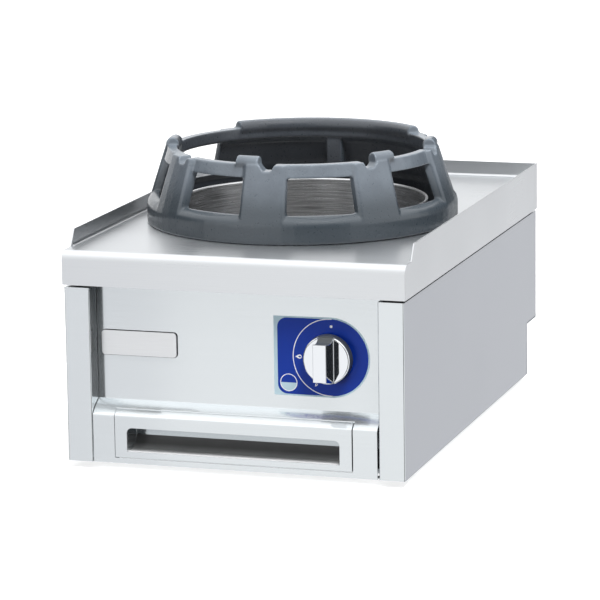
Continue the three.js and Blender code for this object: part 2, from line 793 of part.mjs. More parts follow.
// Cast ring: foot wall, coned window frames, proud posts, closed back, rolled rim and four stops.
function wokRing() {
  const segments = 72;
  const frameFace = [
    [ringFoot, ringShoulder - 2.5 * castEdge],
    [ringConeFoot, ringShoulder - castEdge / 2],
    [ringConeFoot - castEdge, ringShoulder + castEdge],
    [coneRadius(ringSill) - postProud, ringSill],
    [coneRadius(ringBeamTop) - postProud, ringBeamTop],
  ];
  const postFace = [
    [ringFoot, ringShoulder - 2.5 * castEdge],
    [ringConeFoot, ringShoulder],
    [coneRadius(ringBeamTop), ringBeamTop],
  ];
  const frame = revolve(ringProfile(frameFace), [0, burnerY], segments);
  const windows = windowAngles.map(windowRoom);
  const postBlank = revolve(ringProfile(postFace), [0, burnerY], segments);
  const posts = Array.from({ length: postCount }, (_, i) => postOffset + (i - 3) * (360 / postCount));
  const proudPosts = posts.map((angle) => postBlank.intersect(postRoom(angle)));
  const bead = [
    [rimCentre - rimRadius, ringBeamTop - castEdge],
    ...arcPoints([rimCentre, rimHeight], rimRadius, 180, 0, 8),
    [coneRadius(ringBeamTop) - postProud, ringBeamTop - 3 * castEdge],
    [rimCentre - rimRadius + castEdge, ringBeamTop - 3 * castEdge],
  ].map(([r, z]) => [r, z + ringBase]);
  const beadBlank = revolve(bead, [0, burnerY], segments);
  const beadSpan = [ringBeamTop - rimRadius, ringBeamTop + 2 * rimRadius];
  const half = stopAngle / 2;
  const stops = stopAngles.map((angle) =>
    beadBlank.intersect(ringSector(angle - half, angle + half, beadSpan)));
  const rim = beadBlank.intersect(ringSector(rimStart, rimEnd, beadSpan));
  const ribInner = coneRadius(ringBeamUnder) - postProud - ringWall - ribDepth;
  const ribBlank = revolve(
    [
      [ribInner, ringSill],
      [ribInner, ringBeamTop - castEdge / 2],
      [ringBeamInner + ribDepth, ringBeamTop - castEdge / 2],
      [coneRadius(ringSill) - postProud - castEdge / 2, ringSill],
    ].map(([r, z]) => [r, z + ringBase]),
    [0, burnerY],
    segments,
  );
  const [ribFrom, ribTo] = [postOffset + 180 - ribAngle / 2, postOffset + 180 + ribAngle / 2];
  const rib = ribBlank.intersect(ringSector(ribFrom, ribTo, [0, ringBeamTop]));
  const body = union(cut(frame, ...windows), ...proudPosts);
  return union(cut(body, ...notches.map(topNotch)), ...stops, rim, rib);
}

// ---------------------------------------------------------------- burner

// Cast bowl with a mixing tube to the front and two bosses that stand on the bracket.
function burnerBody() {
  const bottom = tubeHeight - tubeRadius / 5;
  const cone = bowlFloor + bowlHeight / 3;
  const outer = revolve([
    [0, bottom],
    [1.5 * tubeRadius, bottom],
    [bowlRadius, cone],
    [bowlRadius, bowlTop],
    [0, bowlTop],
  ], [0, burnerY], 36);
  const cavity = revolve([
    [0, bottom + bowlWall],
    [1.5 * tubeRadius - bowlWall, bottom + bowlWall],
    [bowlRadius - bowlWall, cone + bowlWall / 3],
    [bowlRadius - bowlWall, bowlTop + 1],
    [0, bowlTop + 1],
  ], [0, burnerY], 36);
  const axis = [0, tubeHeight];
  const flare = [mouthY, mouthY + flareLength];
  const tube = union(
    rod('y', tubeRadius, [mouthY, burnerY + tubeRadius], axis),
    rod('y', flareRadius, flare, axis, 24, tubeRadius),
  );
  const inside = tubeRadius - tubeWall;
  const bore = union(
    rod('y', inside, [mouthY - 1, burnerY + inside], axis),
    rod('y', flareRadius - tubeWall, [mouthY - 0.01, mouthY + flareLength], axis, 24, inside),
  );
  const bossTop = cone - bossTopBelow;
  const bosses = [-1, 1].map((side) =>
    rod('z', bossRadius, [bracketHeight + seat, bossTop], [side * bracketBoltX, burnerY], 20));
  const threadSpan = [bracketHeight, bossTop - 2 * boltRadius];
  const threads = [-1, 1].map((side) =>
    rod('z', boltRadius + seat, threadSpan, [side * bracketBoltX, burnerY], 12));
  return cut(union(outer, tube, ...bosses), cavity, bore, ...threads);
}

// Cap with a spigot in the bowl and a ring of flame ports.
function burnerHead() {
  const outside = bowlRadius - 0.5;
  const spigot = bowlRadius - bowlWall - 0.5;
  const foot = bowlTop + seat;
  const top = foot + headRise;
  const shell = revolve([
    [0, top],
    [headCrown, top],
    [outside - headThickness, top - headRise / 4],
    [outside, top - headRise / 2],
    [outside, foot],
    [spigot, foot],
    [spigot, foot - headRise / 4],
    [spigot - 5, foot - headRise / 4],
    [spigot - headThickness, top - (2 * headRise) / 3],
    [headCrown - 2, top - headThickness],
    [0, top - headThickness],
  ], [0, burnerY], 36);
  const ports = Array.from({ length: portCount }, (_, i) => {
    const angle = (i * 360) / portCount;
    const [near, far, half] = [(2 * bowlRadius) / 3, bowlRadius + portWidth, portWidth / 2];
    const outline = [[near, -half], [near, half], [far, half], [far, -half]];
    const plan = shapeFrom(outline.map(([r, s]) => ringPoint(angle, r, s)));
    return alongZ(plan, [foot + portWidth, foot + 3 * portWidth]);
  });
  return cut(shell, ...ports);
}

// Channel across the cabinet that carries the burner.
function burnerBracket() {
  const half = bracketWidth / 2;
  const x = innerX - seat;
  const channel = alongX(
    folded([
      [burnerY + half, bracketHeight - bracketFlange],
      [burnerY + half, bracketHeight],
      [burnerY - half, bracketHeight],
      [burnerY - half, bracketHeight - bracketFlange],
    ]),
    [-x, x],
  );
  const tabHeights = [bracketHeight - sheet, bracketHeight + bracketTab];
  const tabs = [-1, 1].map((side) =>
    box(onSide(side, [x - sheet, x]), [burnerY - half, burnerY + half], tabHeights));
  const holeSpan = [bracketHeight - 2 * sheet, bracketHeight + 1];
  const holes = [-1, 1].map((side) =>
    rod('z', boltRadius + seat, holeSpan, [side * bracketBoltX, burnerY], 16));
  return cut(union(channel, ...tabs), ...holes);
}

// Bolt from below through the bracket into a boss of the burner.
function burnerBolt(side) {
  const place = [side * bracketBoltX, burnerY];
  const under = bracketHeight - sheet - seat;
  const [headRadius, headHeight] = boltHead;
  const head = rod('z', headRadius, [under - headHeight, under], place, 6);
  return union(head, rod('z', boltRadius, [under - 1, bracketHeight + boltReach], place, 12));
}

// Bent strip on the mouth of the mixing tube that holds the injector in line with it.
function injectorBracket() {
  const x = flareRadius + seat;
  const strip = alongZ(
    folded([
      [x + sheet, mouthY + stripLap],
      [x + sheet, injectorPlateY],
      [-x - sheet, injectorPlateY],
      [-x - sheet, mouthY + stripLap],
    ].reverse()),
    [tubeHeight - stripHeight / 2, tubeHeight + stripHeight / 2],
  );
  const holeSpan = [injectorPlateY - 1, injectorPlateY + 2 * sheet];
  return cut(strip, rod('y', injectorRadius + seat, holeSpan, [0, tubeHeight]));
}

function injector() {
  const shoulder = injectorPlateY - seat;
  const body = revolveY([
    [0, shoulder - 1],
    [injectorRadius, shoulder - 1],
    [injectorRadius, injectorTip - injectorRadius],
    [injectorNose, injectorTip],
    [0, injectorTip],
  ], [0, tubeHeight], 16);
  const hex = rod('y', injectorHex, [shoulder - injectorHex, shoulder], [0, tubeHeight], 6);
  const inlet = rod('y', feedRadius / 2, [shoulder - injectorHex - 1, shoulder - 2], [0, tubeHeight], 12);
  return cut(union(body, hex), inlet);
}

// ---------------------------------------------------------------- gas train

// Bent gas pipe from the valve's outlet to the injector.
function feedPipe() {
  const start = injectorPlateY - 2 * seat - injectorHex;
  const end = knobX - valveRadius - valveBoss - seat;
  const bend = 4 * feedRadius;
  const climb = knobZ - tubeHeight;
  return bentTube([
    [0, start, tubeHeight],
    [0, start - bend / 2, tubeHeight],
    [bend / 2, start - bend, tubeHeight],
    [2 * bend, start - bend, tubeHeight + climb / 4],
    [end - 2 * bend, start - bend, tubeHeight + 0.8 * climb],
    [end - 0.8 * bend, valveMidY, knobZ],
    [end, valveMidY, knobZ],
  ], feedRadius, 22, 8);
}

// Brass valve with a blind plug bore, a side inlet, a side outlet and two small rear sockets.
function valveBody() {
  const axis = [knobX, knobZ];
  const across = [valveMidY, knobZ];
  const boss = valveRadius + valveBoss;
  const [inlet, outlet] = [supplyRadius - 2, feedRadius - 1];
  const [dx, dz] = socketPlace;
  const socketSpan = [valveBack - 1, valveBack + socketReach];
  const sockets = [-1, 1].map((side) =>
    rod('y', socketRadius, socketSpan, [knobX + side * dx, knobZ - side * dz], 10));
  const outer = union(
    rod('y', valveRadius, [valveFront, valveBack], axis),
    rod('x', 2 * inlet, [knobX, knobX + boss], across, 16),
    rod('x', 2 * feedRadius, [knobX - boss, knobX], across, 16),
    ...sockets,
  );
  return cut(
    outer,
    rod('y', boreFor(plugRadius, runningGap), [valveFront - 1, plugBack + seat], axis),
    rod('x', inlet, [knobX, knobX + boss + 1], across, 12),
    rod('x', outlet, [knobX - boss - 1, knobX], across, 10),
  );
}

// Front plate and neck that close the valve and guide the spindle.
function valveBonnet() {
  const axis = [knobX, knobZ];
  const plate = rod('y', valveRadius, [bonnetY, bonnetY + bonnetPlate], axis);
  const neck = rod('y', bonnetNeck, [panelY + 0.5, bonnetY + 1], axis);
  const bore = rod('y', boreFor(spindleRadius, runningGap), [panelY - 1, bonnetY + bonnetPlate + 1], axis);
  return cut(union(plate, neck), bore);
}

// Sheet bracket behind the control panel that the bonnet is screwed to.
function valveBracket() {
  const front = panelBack + seat;
  const [reach, leg, half] = [24, 12, 20];
  const plan = folded([
    [knobX - reach, front + leg],
    [knobX - reach, front],
    [knobX + reach, front],
    [knobX + reach, front + leg],
  ]);
  const bracket = alongZ(plan, [knobZ - half, knobZ + half]);
  return cut(bracket, rod('y', bonnetNeck + 0.5, [front - 1, front + 2 * sheet], [knobX, knobZ]));
}

// Turning plug with a square socket for the spindle's tail and a cross port.
function valvePlug() {
  const plug = rod('y', plugRadius, [plugFront, plugBack], [knobX, knobZ]);
  const half = spindleTail / 2 + 0.2;
  const socketSpan = [plugFront - 1, plugFront + socketDepth];
  const socket = box([knobX - half, knobX + half], socketSpan, [knobZ - half, knobZ + half]);
  const portY = (plugFront + socketDepth + plugBack) / 2;
  const port = rod('x', 2, [knobX - 2 * plugRadius, knobX + 2 * plugRadius], [portY, knobZ], 12);
  return cut(plug, socket, port);
}

// Spindle: round through the bonnet and the knob, square where it slides in the plug.
function spindle() {
  const shoulder = plugFront - pushTravel - seat;
  const half = spindleTail / 2;
  return union(
    rod('y', spindleRadius, [discFace - 6, shoulder], [knobX, knobZ]),
    box([knobX - half, knobX + half], [shoulder - 1, plugFront + tailReach], [knobZ - half, knobZ + half]),
  );
}

// Chromed knob: flared disc, hollow back with a hub, and a high grip bar with a scooped top end.
function knob() {
  const axis = [knobX, knobZ];
  const disc = revolveY([
    [0, knobBack],
    [knobSkirt, knobBack],
    [knobSkirt, knobBack - knobEdge],
    [knobRadius, discFace + knobEdge],
    [knobRadius - knobEdge, discFace],
    [0, discFace],
  ], axis, 48);
  const side = new THREE.Shape();
  side.moveTo(discFace + 1, knobZ - knobRadius + 2);
  side.lineTo(discFace + 1, knobZ + knobRadius - 1);
  side.lineTo(discFace, knobZ + knobRadius - 1);
  side.quadraticCurveTo(discFace - 7, knobZ + gripTop - 5, gripFace, knobZ + gripTop);
  side.lineTo(gripFace, knobZ - gripBottom);
  side.quadraticCurveTo(discFace - 9, knobZ - knobRadius + 3, discFace + 1, knobZ - knobRadius + 2);
  const bar = alongX(side, [knobX - gripWidth, knobX + gripWidth]);
  const [front, back] = [gripWidth / 2, gripWidth / 2 + gripDraft];
  const taper = shapeFrom([
    [knobX - front, gripFace - 0.01],
    [knobX + front, gripFace - 0.01],
    [knobX + back, discFace + 1],
    [knobX - back, discFace + 1],
  ]);
  const grip = bar.intersect(alongZ(taper, [knobZ - knobSkirt, knobZ + knobSkirt]));
  const hollow = cut(
    rod('y', knobRadius - knobWall, [knobBack - knobHollow, knobBack + 1], axis, 32),
    rod('y', spindleRadius + knobWall, [knobBack - knobHollow - 1, knobBack + 2], axis),
  );
  const bore = rod('y', spindleRadius + seat, [discFace - 6 - seat, knobBack + 1], axis);
  return cut(union(disc, grip), hollow, bore);
}

function supplyPipe() {
  const span = [valveMidY + elbowReach + seat, notchY - sheet - inletInside - seat];
  const axis = [supplyX, supplyHeight];
  return cut(
    rod('y', supplyRadius, span, axis, 20),
    rod('y', supplyRadius - 1.5, [span[0] - 1, span[1] + 1], axis, 16),
  );
}

// Cast elbow that turns the supply from the floor of the cabinet up to the valve.
function supplyElbow() {
  const [y, z] = [valveMidY, supplyHeight];
  const radius = supplyRadius + 3;
  const outer = union(
    rod('y', radius, [y - radius, y + elbowReach], [supplyX, z], 16),
    rod('z', radius, [z - radius, z + elbowReach], [supplyX, y], 16),
  );
  const bore = supplyRadius - 1.5;
  return cut(
    outer,
    rod('y', bore, [y - bore, y + elbowReach + 1], [supplyX, z], 12),
    rod('z', bore, [z - bore, z + elbowReach + 1], [supplyX, y], 12),
  );
}

function riserPipe() {
  const start = supplyHeight + elbowReach + seat;
  const end = knobX + valveRadius + valveBoss + seat;
  const bend = 3 * (supplyRadius - 1);
  return bentTube([
    [supplyX, valveMidY, start],
    [supplyX, valveMidY, start + bend],
    [supplyX, valveMidY, knobZ - bend],
    [supplyX - bend * 0.3, valveMidY, knobZ - bend * 0.3],
    [supplyX - bend, valveMidY, knobZ],
    [end, valveMidY, knobZ],
  ], supplyRadius - 1, 18, 10);
}

// Threaded nipple through the lower rear panel, with an inside collar.
function gasInlet() {
  const wall = notchY - sheet;
  return revolveY([
    [inletBore, wall - inletInside],
    [inletRadius, wall - inletInside],
    [inletRadius, wall - seat - inletCollar],
    [inletRadius + inletCollar, wall - seat - inletCollar],
    [inletRadius + inletCollar, wall - seat],
    [inletRadius, wall - seat],
    [inletRadius, notchY + inletReach - inletChamfer],
    [inletRadius - inletChamfer, notchY + inletReach],
    [inletBore, notchY + inletReach],
  ], [supplyX, supplyHeight], 20);
}

function inletLocknut() {
  const [acrossFlats, thickness] = locknut;
  const span = [notchY + seat, notchY + seat + thickness];
  return nut('y', acrossFlats, inletRadius + seat, span, [supplyX, supplyHeight]);
}

// Strip on the bowl's wall with holes for the pilot and the probe.
function pilotBracket() {
  const z = bowlTop - pilotStrip;
  const span = [z - 1, z + 2 * sheet];
  const near = bowlRadius + seat;
  const sides = [pilotStripReach, probeSideways + pilotStripReach - 2];
  const plan = (from, to, sideways) =>
    shapeFrom([[from, -sideways[0]], [to, -sideways[0]], [to, sideways[1]], [from, sideways[1]]]
      .map(([r, s]) => ringPoint(pilotAngle, r, s)));
  const plate = alongZ(plan(near, pilotOffset + pilotStripReach, sides), [z, z + sheet]);
  const tab = alongZ(plan(near, near + sheet, sides), [z - 3 * pilotStrip, z + sheet]);
  return cut(
    union(plate, tab),
    rod('z', pilotBody + seat, span, ringPoint(pilotAngle, pilotOffset), 16),
    rod('z', probeRadius + seat, span, ringPoint(pilotAngle, pilotOffset, probeSideways), 12),
  );
}

// Brass pilot with a collar on its bracket and a hooded top.
function pilotBurner() {
  const collar = bowlTop - pilotStrip + sheet + seat;
  return revolve([
    [0, pilotFoot],
    [pilotBody, pilotFoot],
    [pilotBody, collar],
    [pilotBody + 1.5, collar],
    [pilotBody + 1.5, collar + 4],
    [pilotBody, collar + 4],
    [pilotBody, pilotTop - 3],
    [pilotBody - 2, pilotTop],
    [0, pilotTop],
  ], ringPoint(pilotAngle, pilotOffset), 16);
}

// Mouth of a small socket at the valve's rear, where a tube ends.
function socketMouth(side) {
  const [dx, dz] = socketPlace;
  return [knobX + side * dx, valveBack + socketReach + seat, knobZ - side * dz];
}

function pilotTube() {
  const [x, y] = ringPoint(pilotAngle, pilotOffset);
  const [endX, endY, endZ] = socketMouth(-1);
  return bentTube([
    [x, y, pilotFoot - seat],
    [x, y, pilotFoot - 16],
    [x + 2, y - 5, pilotFoot - 26],
    [x + 14, y - 42, endZ],
    [endX - 4, endY + 40, endZ],
    [endX, endY + 14, endZ],
    [endX, endY, endZ],
  ], pilotRadius, 24, 6);
}

function thermocouple() {
  const collar = bowlTop - pilotStrip + sheet + seat;
  return revolve([
    [0, pilotFoot],
    [probeRadius, pilotFoot],
    [probeRadius, collar],
    [probeRadius + 1.5, collar],
    [probeRadius + 1.5, collar + 3],
    [probeRadius, collar + 3],
    [probeRadius, pilotTop + 4],
    [0, pilotTop + 5],
  ], ringPoint(pilotAngle, pilotOffset, probeSideways), 12);
}

function thermocoupleLead() {
  const [x, y] = ringPoint(pilotAngle, pilotOffset, probeSideways);
  const [endX, endY, endZ] = socketMouth(1);
  return bentTube([
    [x, y, pilotFoot - seat],
    [x, y, pilotFoot - 16],
    [x + 3, y - 5, pilotFoot - 28],
    [x + 22, y - 48, endZ - 4],
    [endX - 2, endY + 44, endZ - 3],
    [endX, endY + 14, endZ],
    [endX, endY, endZ],
  ], leadRadius, 24, 6);
}

// ---------------------------------------------------------------- drawer

// Finger pocket behind the slot: one bent sheet for floor and back wall, and two end plates.
function fingerPocket() {
  const top = slotBottom + slotHeight + scoopRise;
  const front = frontY + sheet / 2;
  const scoop = folded([
    [scoopBack, top],
    ...arcPoints([frontY + scoopFloor, slotBottom + scoopRadius], scoopRadius, 0, -90),
    [front, slotBottom],
  ]);
  const ends = [slotLeft - sheet, slotRight].map((x) =>
    box([x, x + sheet], [front, scoopBack + sheet], [slotBottom - sheet, top]));
  return union(alongX(scoop, [slotLeft - sheet, slotRight + sheet]), ...ends);
}

// Folded front with the sloped lip, the finger slot and the side plates that carry the tray.
function drawerFront() {
  const skin = alongX(
    folded([
      [lipY, lipZ],
      [frontY, ledgeFront],
      [frontY, drawerSill],
      [frontY + drawerReturn, drawerSill],
    ]),
    [drawerLeft, drawerRight],
  );
  const plateSpan = [frontY + sheet / 2, trayFrontY + trayOverlap];
  const plateHeights = [drawerSill, drawerSill + trayDepth];
  const plates = [drawerLeft, drawerRight - sheet].map((x) => box([x, x + sheet], plateSpan, plateHeights));
  const cornerZ = slotBottom + slotHeight - slotRadius;
  const slot = new THREE.Shape();
  slot.moveTo(slotLeft, slotBottom);
  slot.lineTo(slotRight, slotBottom);
  slot.lineTo(slotRight, cornerZ);
  slot.absarc(slotRight - slotRadius, cornerZ, slotRadius, 0, Math.PI / 2);
  slot.absarc(slotLeft + slotRadius, cornerZ, slotRadius, Math.PI / 2, Math.PI);
  return cut(union(skin, ...plates, fingerPocket()), alongY(slot, [frontY - 1, frontY + 2 * sheet]));
}

function dripTray() {
  const corner = 8;
  const span = [trayFrontY, trayRearY];
  const outer = roundedRect([trayLeft, trayRight], span, corner);
  const across = [trayLeft + sheet, trayRight - sheet];
  const inner = roundedRect(across, [span[0] + sheet, span[1] - sheet], corner - sheet);
  return cut(
    alongZ(outer, [drawerSill, drawerSill + trayDepth], 3),
    alongZ(inner, [drawerSill + sheet, drawerSill + trayDepth + 1], 3),
  );
}

// Folded rail: foot on the bottom panel, guide beside the drawer and a shelf under it.
function drawerRunner(side) {
  const guide = Math.abs(side > 0 ? drawerRight : drawerLeft) + runnerPlay;
  const shelfTop = drawerSill - seat;
  const foot = sheet + seat;
  const profile = shapeFrom([
    [guide, foot],
    [guide + runnerFoot, foot],
    [guide + runnerFoot, foot + sheet],
    [guide + sheet, foot + sheet],
    [guide + sheet, foot + runnerHeight],
    [guide, foot + runnerHeight],
    [guide, shelfTop],
    [guide - runnerLeg, shelfTop],
    [guide - runnerLeg, shelfTop - sheet],
    [guide, shelfTop - sheet],
  ]);
  const shape = side > 0 ? profile : mirroredShape(profile);
  return alongY(shape, [frontY + pillarReturn + sheet + 2 * seat, trayRearY]);
}

// ---------------------------------------------------------------- assembly

const finishes = {
  stainless: { color: 0xd6d9dc, roughness: 0.3, metalness: 1 },
  castIron: { color: 0x5b636b, roughness: 0.6, metalness: 0.2 },
  burnerIron: { color: 0x3a3c3f, roughness: 0.8, metalness: 0.3 },
  galvanised: { color: 0xb4b8ba, roughness: 0.45, metalness: 0.9 },
  brass: { color: 0xc6a65a, roughness: 0.35, metalness: 1 },
  copper: { color: 0xb87352, roughness: 0.35, metalness: 1 },
  chrome: { color: 0xe8eaed, roughness: 0.08, metalness: 1 },
  steel: { color: 0x9a9da1, roughness: 0.4, metalness: 1 },
  rubber: { color: 0x1e1e20, roughness: 0.9, metalness: 0 },
};

const range = new THREE.Group();
const cabinet = new THREE.Group();
cabinet.position.set(0, knobReach / 2, footHeight);
range.add(cabinet);

function place(name, manifold, finish) {
  const mesh = new THREE.Mesh(toGeometry(manifold), new THREE.MeshStandardMaterial(finishes[finish]));
  mesh.name = name;
  cabinet.add(mesh);
}

place('worktop', worktop(), 'stainless');
place('side_panel_left', sidePanel(-1), 'stainless');
place('side_panel_right', sidePanel(1), 'stainless');
place('front_panel', frontPanel(), 'stainless');
place('bottom_panel', bottomPanel(), 'galvanised');
place('rear_panel', rearPanel(), 'galvanised');
for (const [corner, spot] of Object.entries(footPlaces())) place(`foot_${corner}`, foot(spot), 'rubber');
place('burner_well', burnerWell(), 'stainless');
place('well_floor', wellBottom(), 'stainless');
place('wok_ring', wokRing(), 'castIron');
place('burner_body', burnerBody(), 'burnerIron');
place('burner_head', burnerHead(), 'burnerIron');
place('burner_bracket', burnerBracket(), 'galvanised');
place('burner_bolt_left', burnerBolt(-1), 'steel');
place('burner_bolt_right', burnerBolt(1), 'steel');
place('injector_bracket', injectorBracket(), 'galvanised');
place('injector', injector(), 'brass');
place('feed_pipe', feedPipe(), 'copper');
place('valve_body', valveBody(), 'brass');
place('valve_bonnet', valveBonnet(), 'brass');
place('valve_bracket', valveBracket(), 'galvanised');
place('valve_plug', valvePlug(), 'brass');
place('spindle', spindle(), 'steel');
place('knob', knob(), 'chrome');
place('supply_pipe', supplyPipe(), 'steel');
place('supply_elbow', supplyElbow(), 'steel');
place('riser_pipe', riserPipe(), 'copper');
place('gas_inlet', gasInlet(), 'brass');
place('inlet_locknut', inletLocknut(), 'brass');
place('pilot_bracket', pilotBracket(), 'galvanised');
place('pilot_burner', pilotBurner(), 'brass');
place('pilot_tube', pilotTube(), 'copper');
place('thermocouple', thermocouple(), 'steel');
place('thermocouple_lead', thermocoupleLead(), 'copper');
place('drawer_front', drawerFront(), 'stainless');
place('drip_tray', dripTray(), 'stainless');
place('drawer_runner_left', drawerRunner(-1), 'galvanised');
place('drawer_runner_right', drawerRunner(1), 'galvanised');

export default range;
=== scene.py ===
"""Looks of a countertop gas wok range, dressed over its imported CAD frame.

Metres, +Z up, front towards -Y. The sections follow the order in which the range is put together.
"""

import json
import math

import bmesh
import bpy
from mathutils import Matrix, Vector


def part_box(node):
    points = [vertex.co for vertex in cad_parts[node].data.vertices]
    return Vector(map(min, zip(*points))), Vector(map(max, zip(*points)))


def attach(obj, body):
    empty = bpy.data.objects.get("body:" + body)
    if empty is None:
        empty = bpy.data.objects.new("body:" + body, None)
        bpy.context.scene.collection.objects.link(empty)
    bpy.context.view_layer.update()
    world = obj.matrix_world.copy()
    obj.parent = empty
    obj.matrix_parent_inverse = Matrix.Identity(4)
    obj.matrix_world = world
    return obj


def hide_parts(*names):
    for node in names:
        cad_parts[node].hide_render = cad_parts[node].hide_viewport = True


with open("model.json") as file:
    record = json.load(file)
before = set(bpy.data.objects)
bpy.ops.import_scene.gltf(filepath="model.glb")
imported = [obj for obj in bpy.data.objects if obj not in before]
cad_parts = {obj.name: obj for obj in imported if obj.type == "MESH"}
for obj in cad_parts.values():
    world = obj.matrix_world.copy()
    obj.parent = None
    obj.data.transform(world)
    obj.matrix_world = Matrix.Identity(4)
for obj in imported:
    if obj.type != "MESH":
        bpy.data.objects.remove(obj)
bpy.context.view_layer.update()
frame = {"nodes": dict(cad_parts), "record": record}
mm = 0.001

# ------------------------------------------------------------------ cabinet sides
# Two panels of 1.5 mm stainless sheet, each folded into a front pillar, a shoulder under the
# worktop and rear flanges. The sheet is brushed along its length, so gloss breaks into long
# fine streaks, with faint clouds where the coil was rolled.


def linear(code):
    """A colour written as sRGB hex, such as "C9CCD0", in the linear values Blender uses."""
    channels = [int(code[i:i + 2], 16) / 255 for i in (0, 2, 4)]
    return [c / 12.92 if c <= 0.04045 else ((c + 0.055) / 1.055) ** 2.4 for c in channels] + [1.0]


def add_node(material, kind, inputs=None, **settings):
    """A node with its settings, and its inputs set to values or linked to other nodes' outputs."""
    node = material.node_tree.nodes.new(kind)
    for name, value in settings.items():
        setattr(node, name, value)
    for socket, value in (inputs or {}).items():
        if isinstance(value, bpy.types.NodeSocket):
            material.node_tree.links.new(value, node.inputs[socket])
        else:
            node.inputs[socket].default_value = value
    return node


def new_material(name, color, **shader_values):
    """A material with a Principled shader whose uniform values are set on its own sockets."""
    material = bpy.data.materials.new(name)
    material.use_nodes = True
    shader = material.node_tree.nodes["Principled BSDF"]
    shader.inputs["Base Color"].default_value = linear(color)
    for socket, value in shader_values.items():
        shader.inputs[socket.replace("_", " ")].default_value = value
    return material


def wire(material, output, socket):
    """Links a node's output into the material's shader."""
    shader = material.node_tree.nodes["Principled BSDF"]
    material.node_tree.links.new(output, shader.inputs[socket])


def own_place(material):
    """The shaded point in the piece's own coordinates, in metres."""
    return add_node(material, "ShaderNodeTexCoord").outputs["Object"]


def noise(material, place, size, detail, roughness=0.5):
    """A soft random pattern from 0 to 1 with blots of a size."""
    return add_node(
        material, "ShaderNodeTexNoise",
        {"Vector": place, "Scale": 1 / size, "Detail": detail, "Roughness": roughness},
    ).outputs["Fac"]


def ranged(material, value, low, high, starts=0.0, ends=1.0):
    """A low value where a pattern starts, running to a high one where it ends."""
    return add_node(
        material, "ShaderNodeMapRange",
        {"Value": value, "From Min": starts, "From Max": ends, "To Min": low, "To Max": high},
    ).outputs["Result"]


def reckon(material, operation, *values):
    """The result of one arithmetic operation on numbers or patterns."""
    return add_node(material, "ShaderNodeMath", dict(enumerate(values)), operation=operation).outputs[0]


def vector_of(material, operation, *values):
    """The vector that one operation makes of other vectors."""
    inputs = dict(enumerate(values))
    return add_node(material, "ShaderNodeVectorMath", inputs, operation=operation).outputs["Vector"]


def mix(material, kind, share, first, second):
    """The first vector or colour where the share is 0, the second where it is 1."""
    first_at, second_at, result_at = {"VECTOR": (4, 5, 1), "RGBA": (6, 7, 2)}[kind]
    inputs = {"Factor": share, first_at: first, second_at: second}
    return add_node(material, "ShaderNodeMix", inputs, data_type=kind).outputs[result_at]


def shade_color(material, color, shade):
    """A base colour darkened by a pattern."""
    tone = add_node(
        material, "ShaderNodeVectorMath", {0: linear(color)[:3], "Scale": shade}, operation="SCALE"
    ).outputs["Vector"]
    wire(material, tone, "Base Color")


def emboss(material, height, depth, strength=1.0):
    """Surface relief that follows a pattern, with a depth in metres."""
    bump = add_node(material, "ShaderNodeBump", {"Height": height, "Strength": strength, "Distance": depth})
    wire(material, bump.outputs["Normal"], "Normal")


def faces_along(material, axis, mostly=0.7):
    """1 where the surface faces mostly along an axis, else 0."""
    facing = add_node(material, "ShaderNodeNewGeometry").outputs["Normal"]
    parts = add_node(material, "ShaderNodeSeparateXYZ", {"Vector": facing})
    amount = reckon(material, "ABSOLUTE", parts.outputs[axis])
    return reckon(material, "GREATER_THAN", amount, mostly)


def brushing(material, streak_length, streak_width):
    """Streaks of a size, along Y on the sides and along X on all other faces."""
    place = own_place(material)
    along, across = 1 / streak_length, 1 / streak_width
    along_x = add_node(material, "ShaderNodeMapping", {"Vector": place, "Scale": (along, across, across)})
    along_y = add_node(material, "ShaderNodeMapping", {"Vector": place, "Scale": (across, along, across)})
    grain = mix(
        material, "VECTOR", faces_along(material, "X"),
        along_x.outputs["Vector"], along_y.outputs["Vector"],
    )
    return noise(material, grain, size=1.0, detail=3.0, roughness=0.6)


def brushed_steel(
    name, color, roughness, relief_depth, contrast,
    streak_length=90 * mm, streak_width=0.9 * mm, metallic=0.9,
):
    """Stainless sheet brushed along its length, so gloss spreads across the brushing. The real
    streaks are about 0.1 mm wide, and are drawn 0.9 mm wide because finer ones don't show."""
    material = new_material(name, color, Metallic=metallic, Anisotropic=0.7)
    spread = mix(material, "VECTOR", faces_along(material, "Z"), (0, 0, 1), (0, 1, 0))
    wire(material, spread, "Tangent")
    streaks = brushing(material, streak_length, streak_width)
    shade_color(material, color, ranged(material, streaks, 1 - contrast, 1.0, starts=0.35, ends=0.65))
    streak_gloss = 0.015
    gloss = ranged(material, streaks, roughness - streak_gloss, roughness + streak_gloss, 0.3, 0.7)
    coil_clouds = noise(material, own_place(material), size=120 * mm, detail=2.0)
    cloud_gloss = 0.02
    clouded = ranged(material, coil_clouds, -cloud_gloss, cloud_gloss, 0.3, 0.7)
    wire(material, reckon(material, "ADD", gloss, clouded), "Roughness")
    emboss(material, streaks, relief_depth)
    return material


def from_solid(node):
    """A bmesh of a CAD solid with its loose triangles merged into flat faces."""
    shape = bmesh.new()
    shape.from_mesh(frame["nodes"][node].data)
    bmesh.ops.remove_doubles(shape, verts=shape.verts, dist=0.002 * mm)
    flat_within = math.radians(0.5)
    bmesh.ops.dissolve_limit(shape, angle_limit=flat_within, verts=shape.verts, edges=shape.edges)
    return shape


def bevel(shape, edges, radius, segments):
    """Replaces edges of a bmesh by rounds of a radius."""
    bmesh.ops.bevel(
        shape, geom=edges, offset=radius, offset_type="OFFSET", segments=segments, profile=0.5,
        affect="EDGES", material=-1, clamp_overlap=False, loop_slide=True,
    )


def round_edges(shape, radius, sharper_than=35, segments=2):
    """Rounds the edges of a bmesh that are sharper than an angle in degrees."""
    limit = math.radians(sharper_than)
    edges = [e for e in shape.edges if e.is_manifold and e.calc_face_angle(0) > limit]
    bevel(shape, edges, radius, segments)


